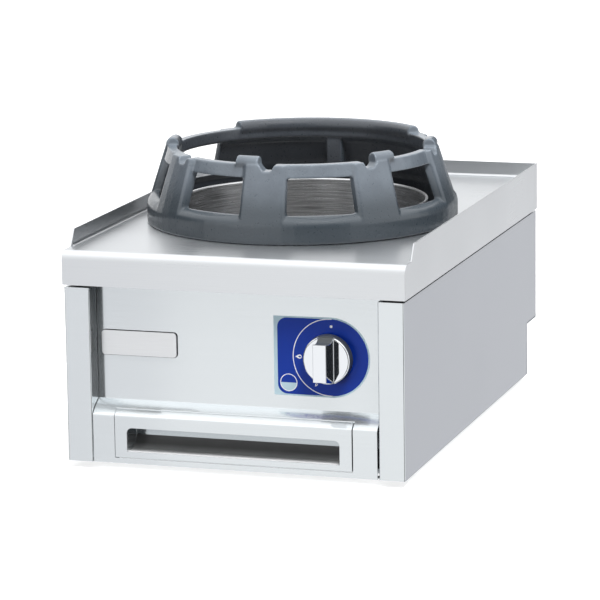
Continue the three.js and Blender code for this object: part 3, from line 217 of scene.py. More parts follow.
def round_folds(shape, radius, along, least_width=5 * mm):
    """Gives a bend radius to a folded sheet's outer corners that run along an axis. Narrow faces
    are the sheet's own ends, and stay square."""
    axis = Vector(along)

    def is_wide(face, edge):
        """Whether a face is wider than the least width, both on the whole and along one edge."""
        beside = [e for v in edge.verts for e in v.link_edges if e in face.edges[:]]
        mean_width = 2 * face.calc_area() / face.calc_perimeter()
        return min(mean_width, *(e.calc_length() for e in beside)) > least_width

    least_fold = math.radians(20)
    parallel = 0.999
    folds = [
        e for e in shape.edges
        if e.is_manifold and e.is_convex and e.calc_face_angle(0) > least_fold
        and abs((e.verts[1].co - e.verts[0].co).normalized().dot(axis)) > parallel
        and all(is_wide(face, e) for face in e.link_faces)
    ]
    bevel(shape, folds, radius, segments=4)


def finish_piece(shape, name, material, body, replaced=(), smooth_under=40):
    """Turns a bmesh into an object that rides on a CAD body and may stand for CAD nodes."""
    mesh = bpy.data.meshes.new(name)
    shape.to_mesh(mesh)
    shape.free()
    mesh.materials.append(material)
    mesh.shade_smooth()
    mesh.set_sharp_from_angle(angle=math.radians(smooth_under))
    piece = bpy.data.objects.new(name, mesh)
    bpy.context.scene.collection.objects.link(piece)
    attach(piece, body)
    if replaced:
        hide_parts(*replaced)
    flat_faces = piece.modifiers.new("flat_faces", "WEIGHTED_NORMAL")
    flat_faces.keep_sharp = True
    return piece


sheet_edge = 0.25 * mm
bend_radius = 1.5 * mm
steel_sheet = brushed_steel(
    "stainless_sheet_brushed", "DFE3E5", roughness=0.16, relief_depth=0.0002 * mm, contrast=0.02
)
# The outer walls get a darker copy of the same stainless: painted shade for the darker sides.
side_sheet_painted_shade = brushed_steel(
    "stainless_sheet_side_painted_shade", "B4B7BD", roughness=0.2, relief_depth=0.0002 * mm, contrast=0.02
)
for side in ("left", "right"):
    panel = from_solid(f"side_panel_{side}")
    round_folds(panel, bend_radius, (0, 0, 1))
    round_edges(panel, sheet_edge)
    outermost = max(abs(v.co.x) for v in panel.verts)
    # Faces of the outer walls take the darker copy, the painted shade.
    for face in panel.faces:
        is_outer_wall = abs(face.calc_center_median().x) > outermost - 0.1 * mm
        face.material_index = 1 if is_outer_wall else 0
    wall = finish_piece(panel, f"side_{side}", steel_sheet, "cabinet", [f"side_panel_{side}"])
    wall.data.materials.append(side_sheet_painted_shade)

# ------------------------------------------------------------------ front panel
# One folded sheet: the control panel set back under the worktop, a sloped ledge below it and the
# lower frame with the drawer's opening. It is spot welded between the pillars. The brake press
# leaves the ledge slightly bowed.

cabinet_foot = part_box("side_panel_left")[0].z
ledge_front = Vector((0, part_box("front_panel")[0].y, cabinet_foot + 55.3 * mm))
ledge_back = ledge_front + Vector((0, 21.8 * mm, 14.6 * mm))
ledge_bow = 1.0 * mm


def bow_ledge(shape):
    """Bows the sloped ledge outward between its two folds."""
    slope = ledge_back - ledge_front
    outward = Vector((0, -slope.z, slope.y)).normalized()
    strips = 8
    sheet_reach = 3 * mm  # both faces of the sheet lie this close to the slope
    for i in range(1, strips):
        bmesh.ops.bisect_plane(
            shape, geom=shape.verts[:] + shape.edges[:] + shape.faces[:],
            plane_co=ledge_front + slope * i / strips, plane_no=(0, 1, 0),
        )
    for v in shape.verts:
        share = (v.co.y - ledge_front.y) / slope.y
        on_slope = ledge_front.z + slope.z * share
        if 0 < share < 1 and abs(v.co.z - on_slope) < sheet_reach:
            v.co += outward * ledge_bow * 4 * share * (1 - share)


panel = from_solid("front_panel")
round_folds(panel, bend_radius, (1, 0, 0))
bow_ledge(panel)
round_edges(panel, sheet_edge)
finish_piece(panel, "front_panel_sheet", steel_sheet, "cabinet", ["front_panel"])

# ------------------------------------------------------------------ control label
# A glossy printed film behind the knob: pale backing, blue field with a round end, a thin white
# circle, an off dot, two flame marks for high and low, and a sign for the burner's place.

panel_face = ledge_back.y


def arc(center, radius, start, end, steps):
    """Points on an arc in a plane, from one angle to another in degrees."""
    angles = [math.radians(start + (end - start) * i / steps) for i in range(steps + 1)]
    return [(center[0] + radius * math.cos(a), center[1] + radius * math.sin(a)) for a in angles]


def film(name, loops, lift, thickness, material):
    """A flat sheet on the control panel, from (x, height) outlines; further outlines are holes."""
    shape = bmesh.new()
    for loop in loops:
        corners = [shape.verts.new((x, panel_face - lift, cabinet_foot + z)) for x, z in loop]
        for a, b in zip(corners, corners[1:] + corners[:1]):
            shape.edges.new((a, b))
    bmesh.ops.triangle_fill(shape, edges=shape.edges, use_beauty=True)
    grown = bmesh.ops.extrude_face_region(shape, geom=shape.faces[:])["geom"]
    back = [v for v in grown if isinstance(v, bmesh.types.BMVert)]
    bmesh.ops.translate(shape, verts=back, vec=(0, thickness, 0))
    bmesh.ops.recalc_face_normals(shape, faces=shape.faces)
    return finish_piece(shape, name, material, "cabinet")


def printed_film(name, color):
    """Printed film under gloss lacquer that has a faint orange-peel ripple."""
    material = new_material(name, color, Roughness=0.22, Specular_IOR_Level=0.2)
    ripple = noise(material, own_place(material), size=3 * mm, detail=1.0)
    emboss(material, ripple, 0.002 * mm)
    return material


def flame_mark(center, size, turn):
    """A drop with a hollow heart, its tip turned by an angle in degrees from straight up."""
    outer = [
        (0, 1.0), (0.34, 0.45), (0.5, 0.0), (0.36, -0.36),
        (0, -0.5), (-0.36, -0.36), (-0.5, 0.0), (-0.34, 0.45),
    ]
    heart = [(0.45 * x, 0.45 * z - 0.1) for x, z in outer]
    cos, sin = math.cos(math.radians(turn)), math.sin(math.radians(turn))
    return [
        [(center[0] + size * (x * cos - z * sin), center[1] + size * (x * sin + z * cos)) for x, z in loop]
        for loop in (outer, heart)
    ]


knob_axis = (107.5 * mm, 130.3 * mm)
backing_left, backing_bottom, backing_top = 41.5 * mm, 85.2 * mm, 174.9 * mm
backing_margin = 1.8 * mm
field_radius = 43.5 * mm
field_left, field_bottom, field_top = 45.8 * mm, 86.9 * mm, 173.4 * mm
field_corner = 11 * mm
line_width = 1.0 * mm
spindle_room = arc(knob_axis, 9.5 * mm, 0, 345, 23)
backing_outline = [
    (backing_left, backing_bottom),
    *arc(knob_axis, field_radius + backing_margin, -90, 90, 48),
    (backing_left, backing_top),
]
field_outline = [
    *arc(knob_axis, field_radius, -90, 90, 48),
    *arc((field_left + field_corner, field_top - field_corner), field_corner, 90, 180, 8),
    *arc((field_left + field_corner, field_bottom + field_corner), field_corner, 180, 270, 8),
]
circle_line = [
    *arc(knob_axis, field_radius + line_width / 2, 88, 272, 60),
    *arc(knob_axis, field_radius - line_width / 2, 272, 88, 60),
]
off_dot = arc((108.4 * mm, 165.5 * mm), 1.6 * mm, 0, 345, 23)
high_flame = flame_mark((71.5 * mm, 129.8 * mm), 5 * mm, 90)
low_flame = flame_mark((90.6 * mm, 99.2 * mm), 3 * mm, 150)
sign_place = (58.4 * mm, 99.8 * mm)
sign_radius, sign_inside = 10 * mm, 9.1 * mm
sign_rim = [arc(sign_place, sign_radius, 0, 355, 71), arc(sign_place, sign_inside, 0, 355, 71)]
sign_half = arc(sign_place, sign_inside, 180, 360, 36)

print_pale = printed_film("label_print_pale_grey_blue", "C2DBE6")
print_blue = printed_film("label_print_blue", "1539A0")
print_white = printed_film("label_print_white", "FBFBFF")
base = 0.2 * mm
layer = 0.06 * mm
film("label_backing", [backing_outline, spindle_room], base, base, print_pale)
film("label_field", [field_outline, spindle_room], base + layer, layer, print_blue)
for name, loops, ink in (
    ("label_circle", [circle_line], print_white),
    ("label_off_dot", [off_dot], print_white),
    ("label_flame_high", high_flame, print_white),
    ("label_flame_low", low_flame, print_white),
    ("label_sign_rim", sign_rim, print_white),
    ("label_sign_half", [sign_half], print_pale),
):
    film(name, loops, base + 2 * layer, layer, ink)

# ------------------------------------------------------------------ bare plate
# A blank satin aluminium plate with round corners, on the left of the control panel. A thin strip
# of matt black under its rim is a painted shadow: it draws the dark line around the plate.


def ramp_color(material, pattern, dark, light, starts=0.0, ends=1.0):
    """A base colour that runs with a pattern from dark, where it starts, to light."""
    tone = add_node(material, "ShaderNodeValToRGB", {"Fac": pattern})
    for step, position, color in ((0, starts, dark), (1, ends, light)):
        tone.color_ramp.elements[step].position = position
        tone.color_ramp.elements[step].color = linear(color)
    wire(material, tone.outputs["Color"], "Base Color")


def moulded_rubber(name):
    """Matt black rubber with the grey bloom that comes out of it."""
    material = new_material(name, "1E1E20", Roughness=0.85)
    bloom = noise(material, own_place(material), size=6 * mm, detail=4.0)
    ramp_color(material, bloom, "18181A", "2C2C2E")
    return material


plate_left, plate_right = -161.9 * mm, -72.6 * mm
plate_bottom, plate_top = 121 * mm, 149 * mm
plate_corner = 4 * mm
plate_thickness = 2.5 * mm
shadow_margin = 0.6 * mm
shadow_thickness = 1 * mm
shadow_depth = 0.9 * mm  # stops short of the panel's face


def plate_outline(margin=0):
    """The plate's outline with its round corners, grown by a margin."""
    left, right = plate_left + plate_corner, plate_right - plate_corner
    bottom, top = plate_bottom + plate_corner, plate_top - plate_corner
    outline = []
    for quarter, center in enumerate(((right, bottom), (right, top), (left, top), (left, bottom))):
        outline += arc(center, plate_corner + margin, 90 * quarter - 90, 90 * quarter, 6)
    return outline


aluminium = brushed_steel(
    "aluminium_plate_satin", "E3E4E5", roughness=0.3, relief_depth=0.0005 * mm, contrast=0.03,
    streak_length=20 * mm, streak_width=0.5 * mm,
)
plate = film(
    "plate_blank", [plate_outline()], plate_thickness, plate_thickness, aluminium
)
soft_rim = plate.modifiers.new("soft_rim", "BEVEL")
soft_rim.width = 0.5 * mm
soft_rim.segments = 3
plate.modifiers.move(1, 0)

# Painted shadow: a black strip under the plate's rim draws a thin dark line around it.
plate_shadow_material = moulded_rubber("plate_painted_shadow_black")
film("plate_painted_shadow", [plate_outline(shadow_margin)], shadow_thickness, shadow_depth, plate_shadow_material)

# ------------------------------------------------------------------ worktop
# A pressed stainless top with a rounded front edge, skirts on all sides, and upstands left, right
# and behind that meet it in small coves. It is ground along its length after welding.

top_sheet = brushed_steel(
    "stainless_worktop_ground", "DEE0E2", roughness=0.3, relief_depth=0.0003 * mm, contrast=0.02,
    metallic=1.0,
)
top = from_solid("worktop")
round_edges(top, sheet_edge)
finish_piece(top, "worktop_sheet", top_sheet, "cabinet", ["worktop"])

# ------------------------------------------------------------------ galvanised sheet
# The base, the back, the drawer's runners and the inner brackets are folded from zinc coated
# sheet, left as rolled. The zinc froze in crystals about 12 mm across, each a slightly other grey.


def spangled_zinc(name):
    """Zinc coating whose crystals differ in tone and gloss."""
    material = new_material(name, "AEB2B5", Metallic=0.9)
    crystal_size = 12 * mm
    inputs = {"Vector": own_place(material), "Scale": 1 / crystal_size}
    crystals = add_node(material, "ShaderNodeTexVoronoi", inputs, feature="F1").outputs["Color"]
    crystal = add_node(material, "ShaderNodeSeparateColor", {"Color": crystals}).outputs["Red"]
    ramp_color(material, crystal, "9DA2A6", "BBBFC2")
    wire(material, ranged(material, crystal, 0.36, 0.52), "Roughness")
    return material


zinc_sheet = spangled_zinc("galvanised_sheet")
body_of = {node: body for body, nodes in frame["record"]["behaviour"]["bodies"].items() for node in nodes}
for node in ("bottom_panel", "rear_panel", "burner_bracket", "injector_bracket", "valve_bracket",
             "pilot_bracket", "drawer_runner_left", "drawer_runner_right"):
    finish_piece(from_solid(node), f"{node}_sheet", zinc_sheet, body_of[node], [node], 30)

# ------------------------------------------------------------------ feet
# Push-in feet of moulded black rubber under the base: matt, with a faint bloom of dust.

rubber = moulded_rubber("rubber_moulded_black")
for corner in ("front_left", "front_right", "rear_left", "rear_right"):
    foot = from_solid(f"foot_{corner}")
    finish_piece(foot, f"foot_pad_{corner}", rubber, "cabinet", [f"foot_{corner}"], 30)

# ------------------------------------------------------------------ burner well
# A rolled stainless cylinder with a rolled rim, welded into the worktop's opening, and a holed
# floor welded inside its foot. The wall is ground around, which leaves coarse level streaks.

sheet = 1.5 * mm
burner_axis = (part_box("wok_ring")[0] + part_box("wok_ring")[1]) / 2
well_low, well_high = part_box("burner_well")
well_inside = 143.6 * mm
well_outside = well_inside + sheet
rim_bead = 2 * mm
rim_top = well_high.z
floor_low, floor_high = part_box("well_floor")
floor_rim = floor_high.x - burner_axis.x
floor_hole = 78 * mm
floor_bend = 4 * mm


def spin_profile(points, steps=160):
    """Turns a closed profile of (radius, height) points around the burner's axis."""
    shape = bmesh.new()
    corners = [shape.verts.new((burner_axis.x + r, burner_axis.y, z)) for r, z in points]
    edges = [shape.edges.new((a, b)) for a, b in zip(corners, corners[1:] + corners[:1])]
    bmesh.ops.spin(
        shape, geom=corners + edges, cent=(burner_axis.x, burner_axis.y, 0), axis=(0, 0, 1),
        angle=math.tau, steps=steps, use_merge=True,
    )
    bmesh.ops.remove_doubles(shape, verts=shape.verts, dist=0.001 * mm)
    bmesh.ops.recalc_face_normals(shape, faces=shape.faces)
    return shape


def grinding(material, mark_length, mark_width):
    """Level marks of a size that run around the burner's axis."""
    offset = vector_of(material, "SUBTRACT", own_place(material), tuple(burner_axis))
    parts = add_node(material, "ShaderNodeSeparateXYZ", {"Vector": offset})
    angle = reckon(material, "ARCTAN2", parts.outputs["X"], parts.outputs["Y"])
    around = reckon(material, "MULTIPLY", angle, well_outside / mark_length)
    height = reckon(material, "MULTIPLY", parts.outputs["Z"], 1 / mark_width)
    grain = add_node(material, "ShaderNodeCombineXYZ", {"X": around, "Z": height}).outputs["Vector"]
    return noise(material, grain, size=1.0, detail=3.0, roughness=0.6)


def ground_around(name, color, roughness, relief_depth, contrast):
    """Stainless wall ground around a vertical axis. The grinding marks are 60 mm long and drawn
    1.1 mm wide; real ones are finer."""
    material = new_material(name, color, Metallic=0.95, Anisotropic=0.9)
    upward = add_node(material, "ShaderNodeCombineXYZ", {"Z": 1.0}).outputs["Vector"]
    wire(material, upward, "Tangent")
    marks = grinding(material, 60 * mm, 1.1 * mm)
    shade_color(material, color, ranged(material, marks, 1 - contrast, 1.0, starts=0.35, ends=0.65))
    mark_gloss = 0.06
    gloss = ranged(material, marks, roughness + mark_gloss, roughness - mark_gloss, 0.3, 0.7)
    wire(material, gloss, "Roughness")
    emboss(material, marks, relief_depth)
    return material


well_steel = ground_around(
    "stainless_well_ground", "DFE0E2", roughness=0.3, relief_depth=0.008 * mm, contrast=0.72
)
# The rolled rim gets a lighter copy of the stainless: a painted highlight along the rim.
rim_steel_painted_highlight = brushed_steel(
    "stainless_rim_painted_highlight", "F2F3F4", roughness=0.3, relief_depth=0.0003 * mm, contrast=0.02
)
well = spin_profile([
    (well_inside, well_low.z),
    *arc((well_inside + rim_bead, rim_top - rim_bead), rim_bead, 180, -30, 10),
    (well_outside, rim_top - 2.5 * rim_bead),
    (well_outside, well_low.z),
])
for face in well.faces:
    if face.calc_center_median().z > rim_top - 2 * rim_bead:
        face.material_index = 1
wall = finish_piece(well, "well_wall", well_steel, "cabinet", ["burner_well"], 35)
wall.data.materials.append(rim_steel_painted_highlight)

bend_center = (floor_rim - floor_bend, floor_low.z + floor_bend)
floor_disc = spin_profile([
    (floor_hole, floor_low.z + sheet),
    *arc(bend_center, floor_bend - sheet, -90, 0, 5),
    (floor_rim - sheet, floor_high.z),
    (floor_rim, floor_high.z),
    *arc(bend_center, floor_bend, 0, -90, 5),
    (floor_hole, floor_low.z),
])
finish_piece(floor_disc, "well_floor_disc", well_steel, "cabinet", ["well_floor"], 35)

# ------------------------------------------------------------------ burner castings
# The bowl with its mixing tube and the cap with the flame ports are grey iron, sand cast and left
# raw, so they are dark, rough and slightly rusty in the pores.


def cast_iron(name, dark, light, grain, relief_depth, roughness, **shader_values):
    """Sand-cast iron: colour wanders in soft clouds, and the sand leaves small round pits."""
    material = new_material(name, dark, **shader_values)
    clouds = noise(material, own_place(material), size=25 * mm, detail=5.0)
    ramp_color(material, clouds, dark, light, 0.3, 0.7)
    sand = noise(material, own_place(material), size=grain, detail=3.0, roughness=0.55)
    sand_gloss = 0.08
    gloss = ranged(material, sand, roughness - sand_gloss, roughness + sand_gloss, 0.3, 0.7)
    wire(material, gloss, "Roughness")
    emboss(material, sand, relief_depth, strength=0.6)
    return material


def recast(node, name, voxel, smoothing, material, body):
    """A CAD solid with the soft corners of a casting: remeshed evenly, then smoothed."""
    shape = from_solid(node)
    mesh = bpy.data.meshes.new(name)
    shape.to_mesh(mesh)
    shape.free()
    mesh.materials.append(material)
    piece = bpy.data.objects.new(name, mesh)
    bpy.context.scene.collection.objects.link(piece)
    remesh = piece.modifiers.new("even_mesh", "REMESH")
    remesh.mode = "VOXEL"
    remesh.voxel_size = voxel
    remesh.use_smooth_shade = True
    smooth = piece.modifiers.new("soft_corners", "SMOOTH")
    smooth.factor = 0.5
    smooth.iterations = smoothing
    evaluated = piece.evaluated_get(bpy.context.evaluated_depsgraph_get())
    finished = bpy.data.meshes.new_from_object(evaluated)
    piece.modifiers.clear()
    piece.data = finished
    finished.shade_smooth()
    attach(piece, body)
    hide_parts(node)


raw_iron = cast_iron(
    "grey_iron_sand_cast", "2E2D2C", "4A4541", grain=1.4 * mm, relief_depth=0.25 * mm, roughness=0.75
)
recast("burner_body", "burner_bowl_casting", 1.6 * mm, 4, raw_iron, "cabinet")
recast("burner_head", "burner_cap_casting", 0.9 * mm, 3, raw_iron, "burner_head")

# ------------------------------------------------------------------ wok ring
# One iron casting in blue-grey enamel: a foot wall, posts between its windows, a closed back, a
# half-round rim and four stops. The enamel hides the sand a little. Its colour carries painted light:
# painted shade low on the foot and on the faces towards the burner, painted highlights on the edges.

ring_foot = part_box("wok_ring")[0].z
# Between these heights the painted shade on the foot fades out.
fade_low, fade_high = ring_foot + 32 * mm, ring_foot + 72 * mm


def faces_outward(material):
    """1 where the surface faces away from the burner's axis, -1 where it faces the burner."""
    from_axis = vector_of(material, "SUBTRACT", own_place(material), (burner_axis.x, burner_axis.y, 0))
    level_part = vector_of(material, "MULTIPLY", from_axis, (1, 1, 0))
    outward = vector_of(material, "NORMALIZE", level_part)
    facing = add_node(material, "ShaderNodeNewGeometry").outputs["Normal"]
    return add_node(
        material, "ShaderNodeVectorMath", {0: outward, 1: facing}, operation="DOT_PRODUCT"
    ).outputs["Value"]


def height_fade(material, starts, ends):
    """0 below one height and 1 above another, with a soft change between them."""
    parts = add_node(material, "ShaderNodeSeparateXYZ", {"Vector": own_place(material)})
    return add_node(
        material, "ShaderNodeMapRange",
        {"Value": parts.outputs["Z"], "From Min": starts, "From Max": ends},
        interpolation_type="SMOOTHSTEP",
    ).outputs["Result"]


def enamelled_iron(name):
    """Enamel on cast iron, with painted shade low on the foot, painted highlights on sharp edges and
    painted shade on faces towards the flames.
    """
    material = cast_iron(
        name, "555C64", "636B73", grain=3 * mm, relief_depth=0.6 * mm, roughness=0.34,
        Coat_Weight=0.6, Coat_Roughness=0.2,
    )
    shader = material.node_tree.nodes["Principled BSDF"]
    enamel = shader.inputs["Base Color"].links[0].from_socket
    # Painted light: a darker colour for shade low on the foot, a lighter one for highlights on sharp edges,
    # a near-black for shade inside.
    foot_painted_shade, edge_painted_highlight, inner_painted_shade = linear("343B41"), linear("8F9AA5"), linear("26272B")
    above_foot = height_fade(material, fade_low, fade_high)
    foot_shaded = mix(material, "RGBA", above_foot, foot_painted_shade, enamel)
    pointed = add_node(material, "ShaderNodeNewGeometry").outputs["Pointiness"]
    edge_highlight_share = ranged(material, pointed, 0.0, 0.7, starts=0.52, ends=0.6)
    edged = mix(material, "RGBA", edge_highlight_share, foot_shaded, edge_painted_highlight)
    # Painted shade: faces that look towards the burner are darker.
    inner_shade_share = ranged(material, faces_outward(material), 0.0, 0.75, starts=-0.1, ends=-0.7)
    wire(material, mix(material, "RGBA", inner_shade_share, edged, inner_painted_shade), "Base Color")
    return material


ring_enamel = enamelled_iron("cast_iron_blue_grey_enamel")
recast("wok_ring", "wok_ring_casting", 1.3 * mm, 5, ring_enamel, "wok_ring")

# ------------------------------------------------------------------ gas fittings
# Turned and forged brass for the valve, inlet, injector and pilot; drawn copper for the bent
# pipes; zinc plated steel for bolts, spindle, supply pipe and probe.


def metal(name, color, roughness, mottle_size, lighter):
    """Bare metal with soft stains, as handling and heat leave them."""
    material = new_material(name, color, Metallic=1.0)
    stains = noise(material, own_place(material), size=mottle_size, detail=4.0)
    ramp_color(material, stains, color, lighter)
    polished, tarnished = roughness - 0.06, roughness + 0.1
    wire(material, ranged(material, stains, polished, tarnished), "Roughness")
    return material


brass = metal("brass_machined", "B08D4A", roughness=0.3, mottle_size=9 * mm, lighter="CFAF6C")
copper = metal("copper_drawn", "A5603F", roughness=0.32, mottle_size=12 * mm, lighter="C98560")
zinc_steel = metal("steel_zinc_plated", "8F9398", roughness=0.38, mottle_size=8 * mm, lighter="ADB1B6")
fittings = {
    "brass": (brass, ("injector", "valve_body", "valve_bonnet", "valve_plug", "gas_inlet",
                      "inlet_locknut", "pilot_burner")),
    "copper": (copper, ("feed_pipe", "riser_pipe", "pilot_tube", "thermocouple_lead")),
    "steel": (zinc_steel, ("burner_bolt_left", "burner_bolt_right", "spindle", "supply_pipe",
                           "supply_elbow", "thermocouple")),
}
for slot, (material, nodes) in fittings.items():
    for node in nodes:
        finish_piece(from_solid(node), f"{node}_metal", material, body_of[node], [node], 30)

# ------------------------------------------------------------------ drawer
# A stainless front with a finger slot, folded like the panel around it, and a shallow pressed
# tray behind it that catches fat. The tray slides on two galvanised rails.

face_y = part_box("drawer_front")[0].y
slot_bottom, slot_top = cabinet_foot + 14.3 * mm, cabinet_foot + 41.6 * mm
scoop_radius = 18 * mm
scoop_axis = Vector((0, face_y + 13.5 * mm, slot_bottom + scoop_radius))
wall_reach = 6 * mm  # the back wall runs down this far below the level of the scoop's axis
# Corners of the space that holds the finger pocket's faces
pocket_low = Vector((-127 * mm, face_y + 1 * mm, slot_bottom - 1.6 * mm))
pocket_high = Vector((123 * mm, face_y + 36 * mm, slot_top + 5 * mm))


def square_back_wall(shape):
    """Ends the finger pocket's curve in a crease with its back wall."""
    for v in shape.verts:
        reach = Vector((0, v.co.y, v.co.z)) - scoop_axis
        if abs(reach.length - scoop_radius) < 2 * mm and -wall_reach < reach.z < 0:
            v.co.y = scoop_axis.y + reach.length


def mark_pocket(shape):
    """Gives the pocket's floor and ends the second material and its back wall the third."""
    for face in shape.faces:
        middle = face.calc_center_median()
        if all(low < at < high for low, at, high in zip(pocket_low, middle, pocket_high)):
            is_back_wall = face.normal.y < -0.97
            face.material_index = 2 if is_back_wall else 1


def pocket_steel_painted_shade(name, color):
    """Nearly matt sheet with painted shade that darkens it more the deeper it lies in the pocket, in soft
    patches.
    """
    material = new_material(name, color, Metallic=0.2, Roughness=0.6)
    parts = add_node(material, "ShaderNodeSeparateXYZ", {"Vector": own_place(material)})
    front_edge, deepest = face_y + 2 * mm, face_y + 26 * mm
    # Painted shade: darker the deeper the sheet lies in the pocket.
    lit_share = ranged(material, parts.outputs["Y"], 1.0, 0.12, starts=front_edge, ends=deepest)
    clouds = noise(material, own_place(material), size=15 * mm, detail=3.0)
    patchy = ranged(material, clouds, 0.9, 1.1)
    shade_color(material, color, reckon(material, "MULTIPLY", lit_share, patchy))
    return material


front = from_solid("drawer_front")
square_back_wall(front)
round_folds(front, bend_radius, (1, 0, 0))
bow_ledge(front)
round_edges(front, sheet_edge)
mark_pocket(front)
face_plate = finish_piece(front, "drawer_face", steel_sheet, "drawer", ["drawer_front"])
face_plate.data.materials.append(pocket_steel_painted_shade("stainless_pocket_floor_painted_shade", "F0F1F2"))
# The pocket's back wall gets a darker copy of the sheet's stainless: painted shade.
face_plate.data.materials.append(brushed_steel(
    "stainless_pocket_wall_painted_shade", "BEC4C7", roughness=0.16, relief_depth=0.0003 * mm, contrast=0.02
))

tray_steel = brushed_steel(
    "stainless_tray_pressed", "C6C8CA", roughness=0.26, relief_depth=0.001 * mm, contrast=0.05
)
tray = from_solid("drip_tray")
round_edges(tray, 0.2 * mm)
finish_piece(tray, "tray_pan", tray_steel, "drawer", ["drip_tray"])

# ------------------------------------------------------------------ knob
# A bright chrome front: a flared disc with a high grip bar across it. The chrome throws back hard
# light and dark bands. The disc's flank and the scoop above the grip are dark grey satin, a painted
# reflection of those dark bands.

knob_low, knob_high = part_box("knob")
knob_middle = (knob_low + knob_high) / 2
flank_radius = 26 * mm
scoop_height = 15 * mm


def worn_gloss(material, blot_size, low, high):
    """Roughness that wanders between two values where fingers polish the surface."""
    wear = noise(material, own_place(material), size=blot_size, detail=3.0)
    wire(material, ranged(material, wear, low, high), "Roughness")


def gets_painted_reflection(face):
    """Whether a face is the disc's flank or the scoop above the grip, which get a dark grey painted
    reflection in place of chrome.
    """
    from_middle = face.calc_center_median() - knob_middle
    off_axis = math.hypot(from_middle.x, from_middle.z)
    on_flank = abs(face.normal.y) < 0.5 and off_axis > flank_radius
    on_scoop = face.normal.z > 0.25 and abs(face.normal.x) < 0.3 and from_middle.z > scoop_height
    return on_flank or on_scoop


chrome = new_material("zinc_casting_bright_chrome", "EDEFF2", Metallic=1.0)
worn_gloss(chrome, 5 * mm, 0.03, 0.09)
knob_painted_reflection = new_material("knob_dark_grey_painted_reflection", "3A3D40")
worn_gloss(knob_painted_reflection, 7 * mm, 0.25, 0.4)
grip = from_solid("knob")
round_edges(grip, 0.6 * mm, segments=3)
# Painted reflection: the flank and the scoop take a dark grey material in place of chrome.
for face in grip.faces:
    face.material_index = 1 if gets_painted_reflection(face) else 0
cap = finish_piece(grip, "knob_casting", chrome, "knob", ["knob"], 32)
cap.data.materials.append(knob_painted_reflection)

# ------------------------------------------------------------------ studio
# A pale floor, white air that is brighter overhead, a soft light above and a lower one in front.
# Only gloss sees the dark and pale cloths around, and the card under the worktop that the ledge
# mirrors.

floor_mesh = bmesh.new()
bmesh.ops.create_circle(floor_mesh, cap_ends=True, segments=96, radius=9.0)
floor_data = bpy.data.meshes.new("studio_floor")
floor_mesh.to_mesh(floor_data)
floor_mesh.free()
floor_data.materials.append(new_material(
    "studio_floor_pale", "F6F6F6", Roughness=0.9, Emission_Color=linear("FFFFFF"), Emission_Strength=0.7
))
floor = bpy.data.objects.new("studio_floor", floor_data)
bpy.context.scene.collection.objects.link(floor)
floor.visible_glossy = False
floor.visible_diffuse = False


def lit_cloth(name, tone, strength=1.0):
    """Evenly lit cloth: it only gives light, so its tone is what gloss shows."""
    return new_material(
        name, "000000", Roughness=1.0, Specular_IOR_Level=0.0, Emission_Color=linear(tone),
        Emission_Strength=strength,
    )


def cloth(name, center, size, turn, material, tilt=90):
    """A sheet that only reflections see, tilted up from the floor and then turned, in degrees."""
    shape = bmesh.new()
    bmesh.ops.create_grid(shape, x_segments=1, y_segments=1, size=0.5)
    mesh = bpy.data.meshes.new(name)
    shape.to_mesh(mesh)
    shape.free()
    mesh.materials.append(material)
    piece = bpy.data.objects.new(name, mesh)
    piece.scale = (size[0], size[1], 1)
    piece.location = center
    piece.rotation_euler = (math.radians(tilt), 0, math.radians(turn))
    bpy.context.scene.collection.objects.link(piece)
    piece.visible_camera = False
    piece.visible_diffuse = False
    piece.visible_shadow = False


white_card = lit_cloth("studio_card_white", "FAFBFC", 1.2)
dark_cloth = lit_cloth("studio_cloth_dark", "26282B")
pale_cloth = lit_cloth("studio_cloth_pale", "EFF0F2")
soft_cloth = lit_cloth("studio_cloth_soft", "F0F1F4")
cloth("cloth_front_right", (1.3, -2.3, -0.4), (2.2, 3.4), 30, dark_cloth)
cloth("cloth_rear_right_high", (1.4, 2.8, 1.2), (4.4, 2.2), -30, dark_cloth)
cloth("cloth_rear_right", (1.6, 2.6, -0.75), (3.6, 1.4), -30, pale_cloth)
cloth("cloth_front_left", (-1.2, -1.8, -0.4), (1.1, 1.4), 0, soft_cloth)
cloth("cloth_left", (-2.6, -0.4, 0.0), (2.4, 2.4), 90, dark_cloth)
cloth("card_under_worktop", (0.012, -0.2815, 0.2085), (0.3, 0.017), 0, white_card, tilt=0)


def soft_light(name, place, target, size, power):
    """A square area light at a place, turned to a target, that gloss doesn't see."""
    data = bpy.data.lights.new(name, "AREA")
    data.shape = "SQUARE"
    data.size = size
    data.energy = power
    lamp = bpy.data.objects.new(name, data)
    lamp.location = place
    lamp.rotation_euler = (Vector(target) - Vector(place)).to_track_quat("-Z", "Y").to_euler()
    bpy.context.scene.collection.objects.link(lamp)
    lamp.visible_glossy = False


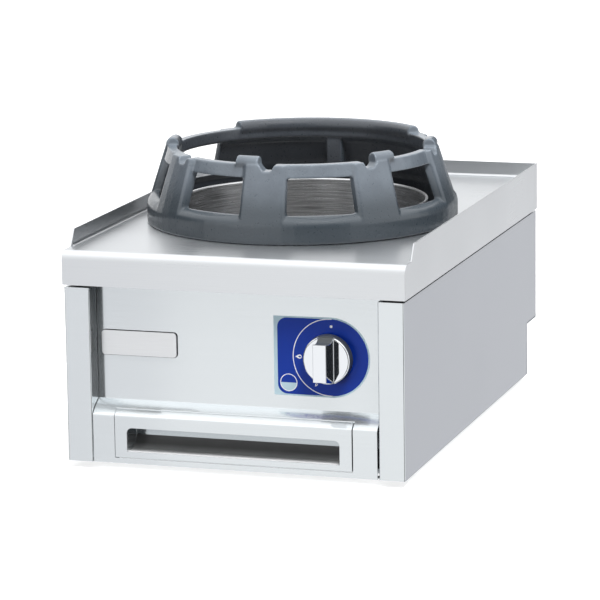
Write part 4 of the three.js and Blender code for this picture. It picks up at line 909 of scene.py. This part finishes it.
lit_middle = (0, 0, 0.15)
soft_light("key_above", (0.9, -0.9, 2.4), lit_middle, size=1.2, power=110)
soft_light("front_left", (-1.4, -2.6, 0.4), lit_middle, size=1.0, power=24)

gloss_air, diffuse_air = 1.05, 0.25
overhead_air = 1.5
world = bpy.data.worlds.new("studio_air")
world.use_nodes = True
air = world.node_tree.nodes["Background"]
air.inputs["Color"].default_value = linear("FCFDFE")
is_diffuse = add_node(world, "ShaderNodeLightPath").outputs["Is Diffuse Ray"]
direction = add_node(world, "ShaderNodeTexCoord").outputs["Generated"]
rise = add_node(world, "ShaderNodeSeparateXYZ", {"Vector": direction}).outputs["Z"]
seen = ranged(world, is_diffuse, gloss_air, diffuse_air)
overhead = ranged(world, rise, 1.0, overhead_air, starts=0.45, ends=0.85)
world.node_tree.links.new(reckon(world, "MULTIPLY", seen, overhead), air.inputs["Strength"])
bpy.context.scene.world = world
bpy.context.scene.view_settings.view_transform = "Standard"

# Camera, worked out from the edges of the cabinet in the photograph. Angles are in radians.
camera_place = Vector((1.1956, -3.7499, 0.9432))
camera_turn = 0.312
camera_tilt = 0.200
camera_roll = -0.015
picture_width = 600
focal_pixels = 3382
right = Vector((math.cos(camera_turn), math.sin(camera_turn), 0))
forward = Vector((-math.sin(camera_turn) * math.cos(camera_tilt),
                  math.cos(camera_turn) * math.cos(camera_tilt), -math.sin(camera_tilt)))
up = right.cross(forward)
rolled_right = math.cos(camera_roll) * right + math.sin(camera_roll) * up
rolled_up = math.cos(camera_roll) * up - math.sin(camera_roll) * right
camera_data = bpy.data.cameras.new("camera")
camera_data.sensor_width = 36
camera_data.lens = focal_pixels * camera_data.sensor_width / picture_width
camera = bpy.data.objects.new("camera", camera_data)
camera.matrix_world = Matrix((
    (rolled_right.x, rolled_up.x, -forward.x, camera_place.x),
    (rolled_right.y, rolled_up.y, -forward.y, camera_place.y),
    (rolled_right.z, rolled_up.z, -forward.z, camera_place.z),
    (0, 0, 0, 1),
))
bpy.context.scene.collection.objects.link(camera)
bpy.context.scene.camera = camera
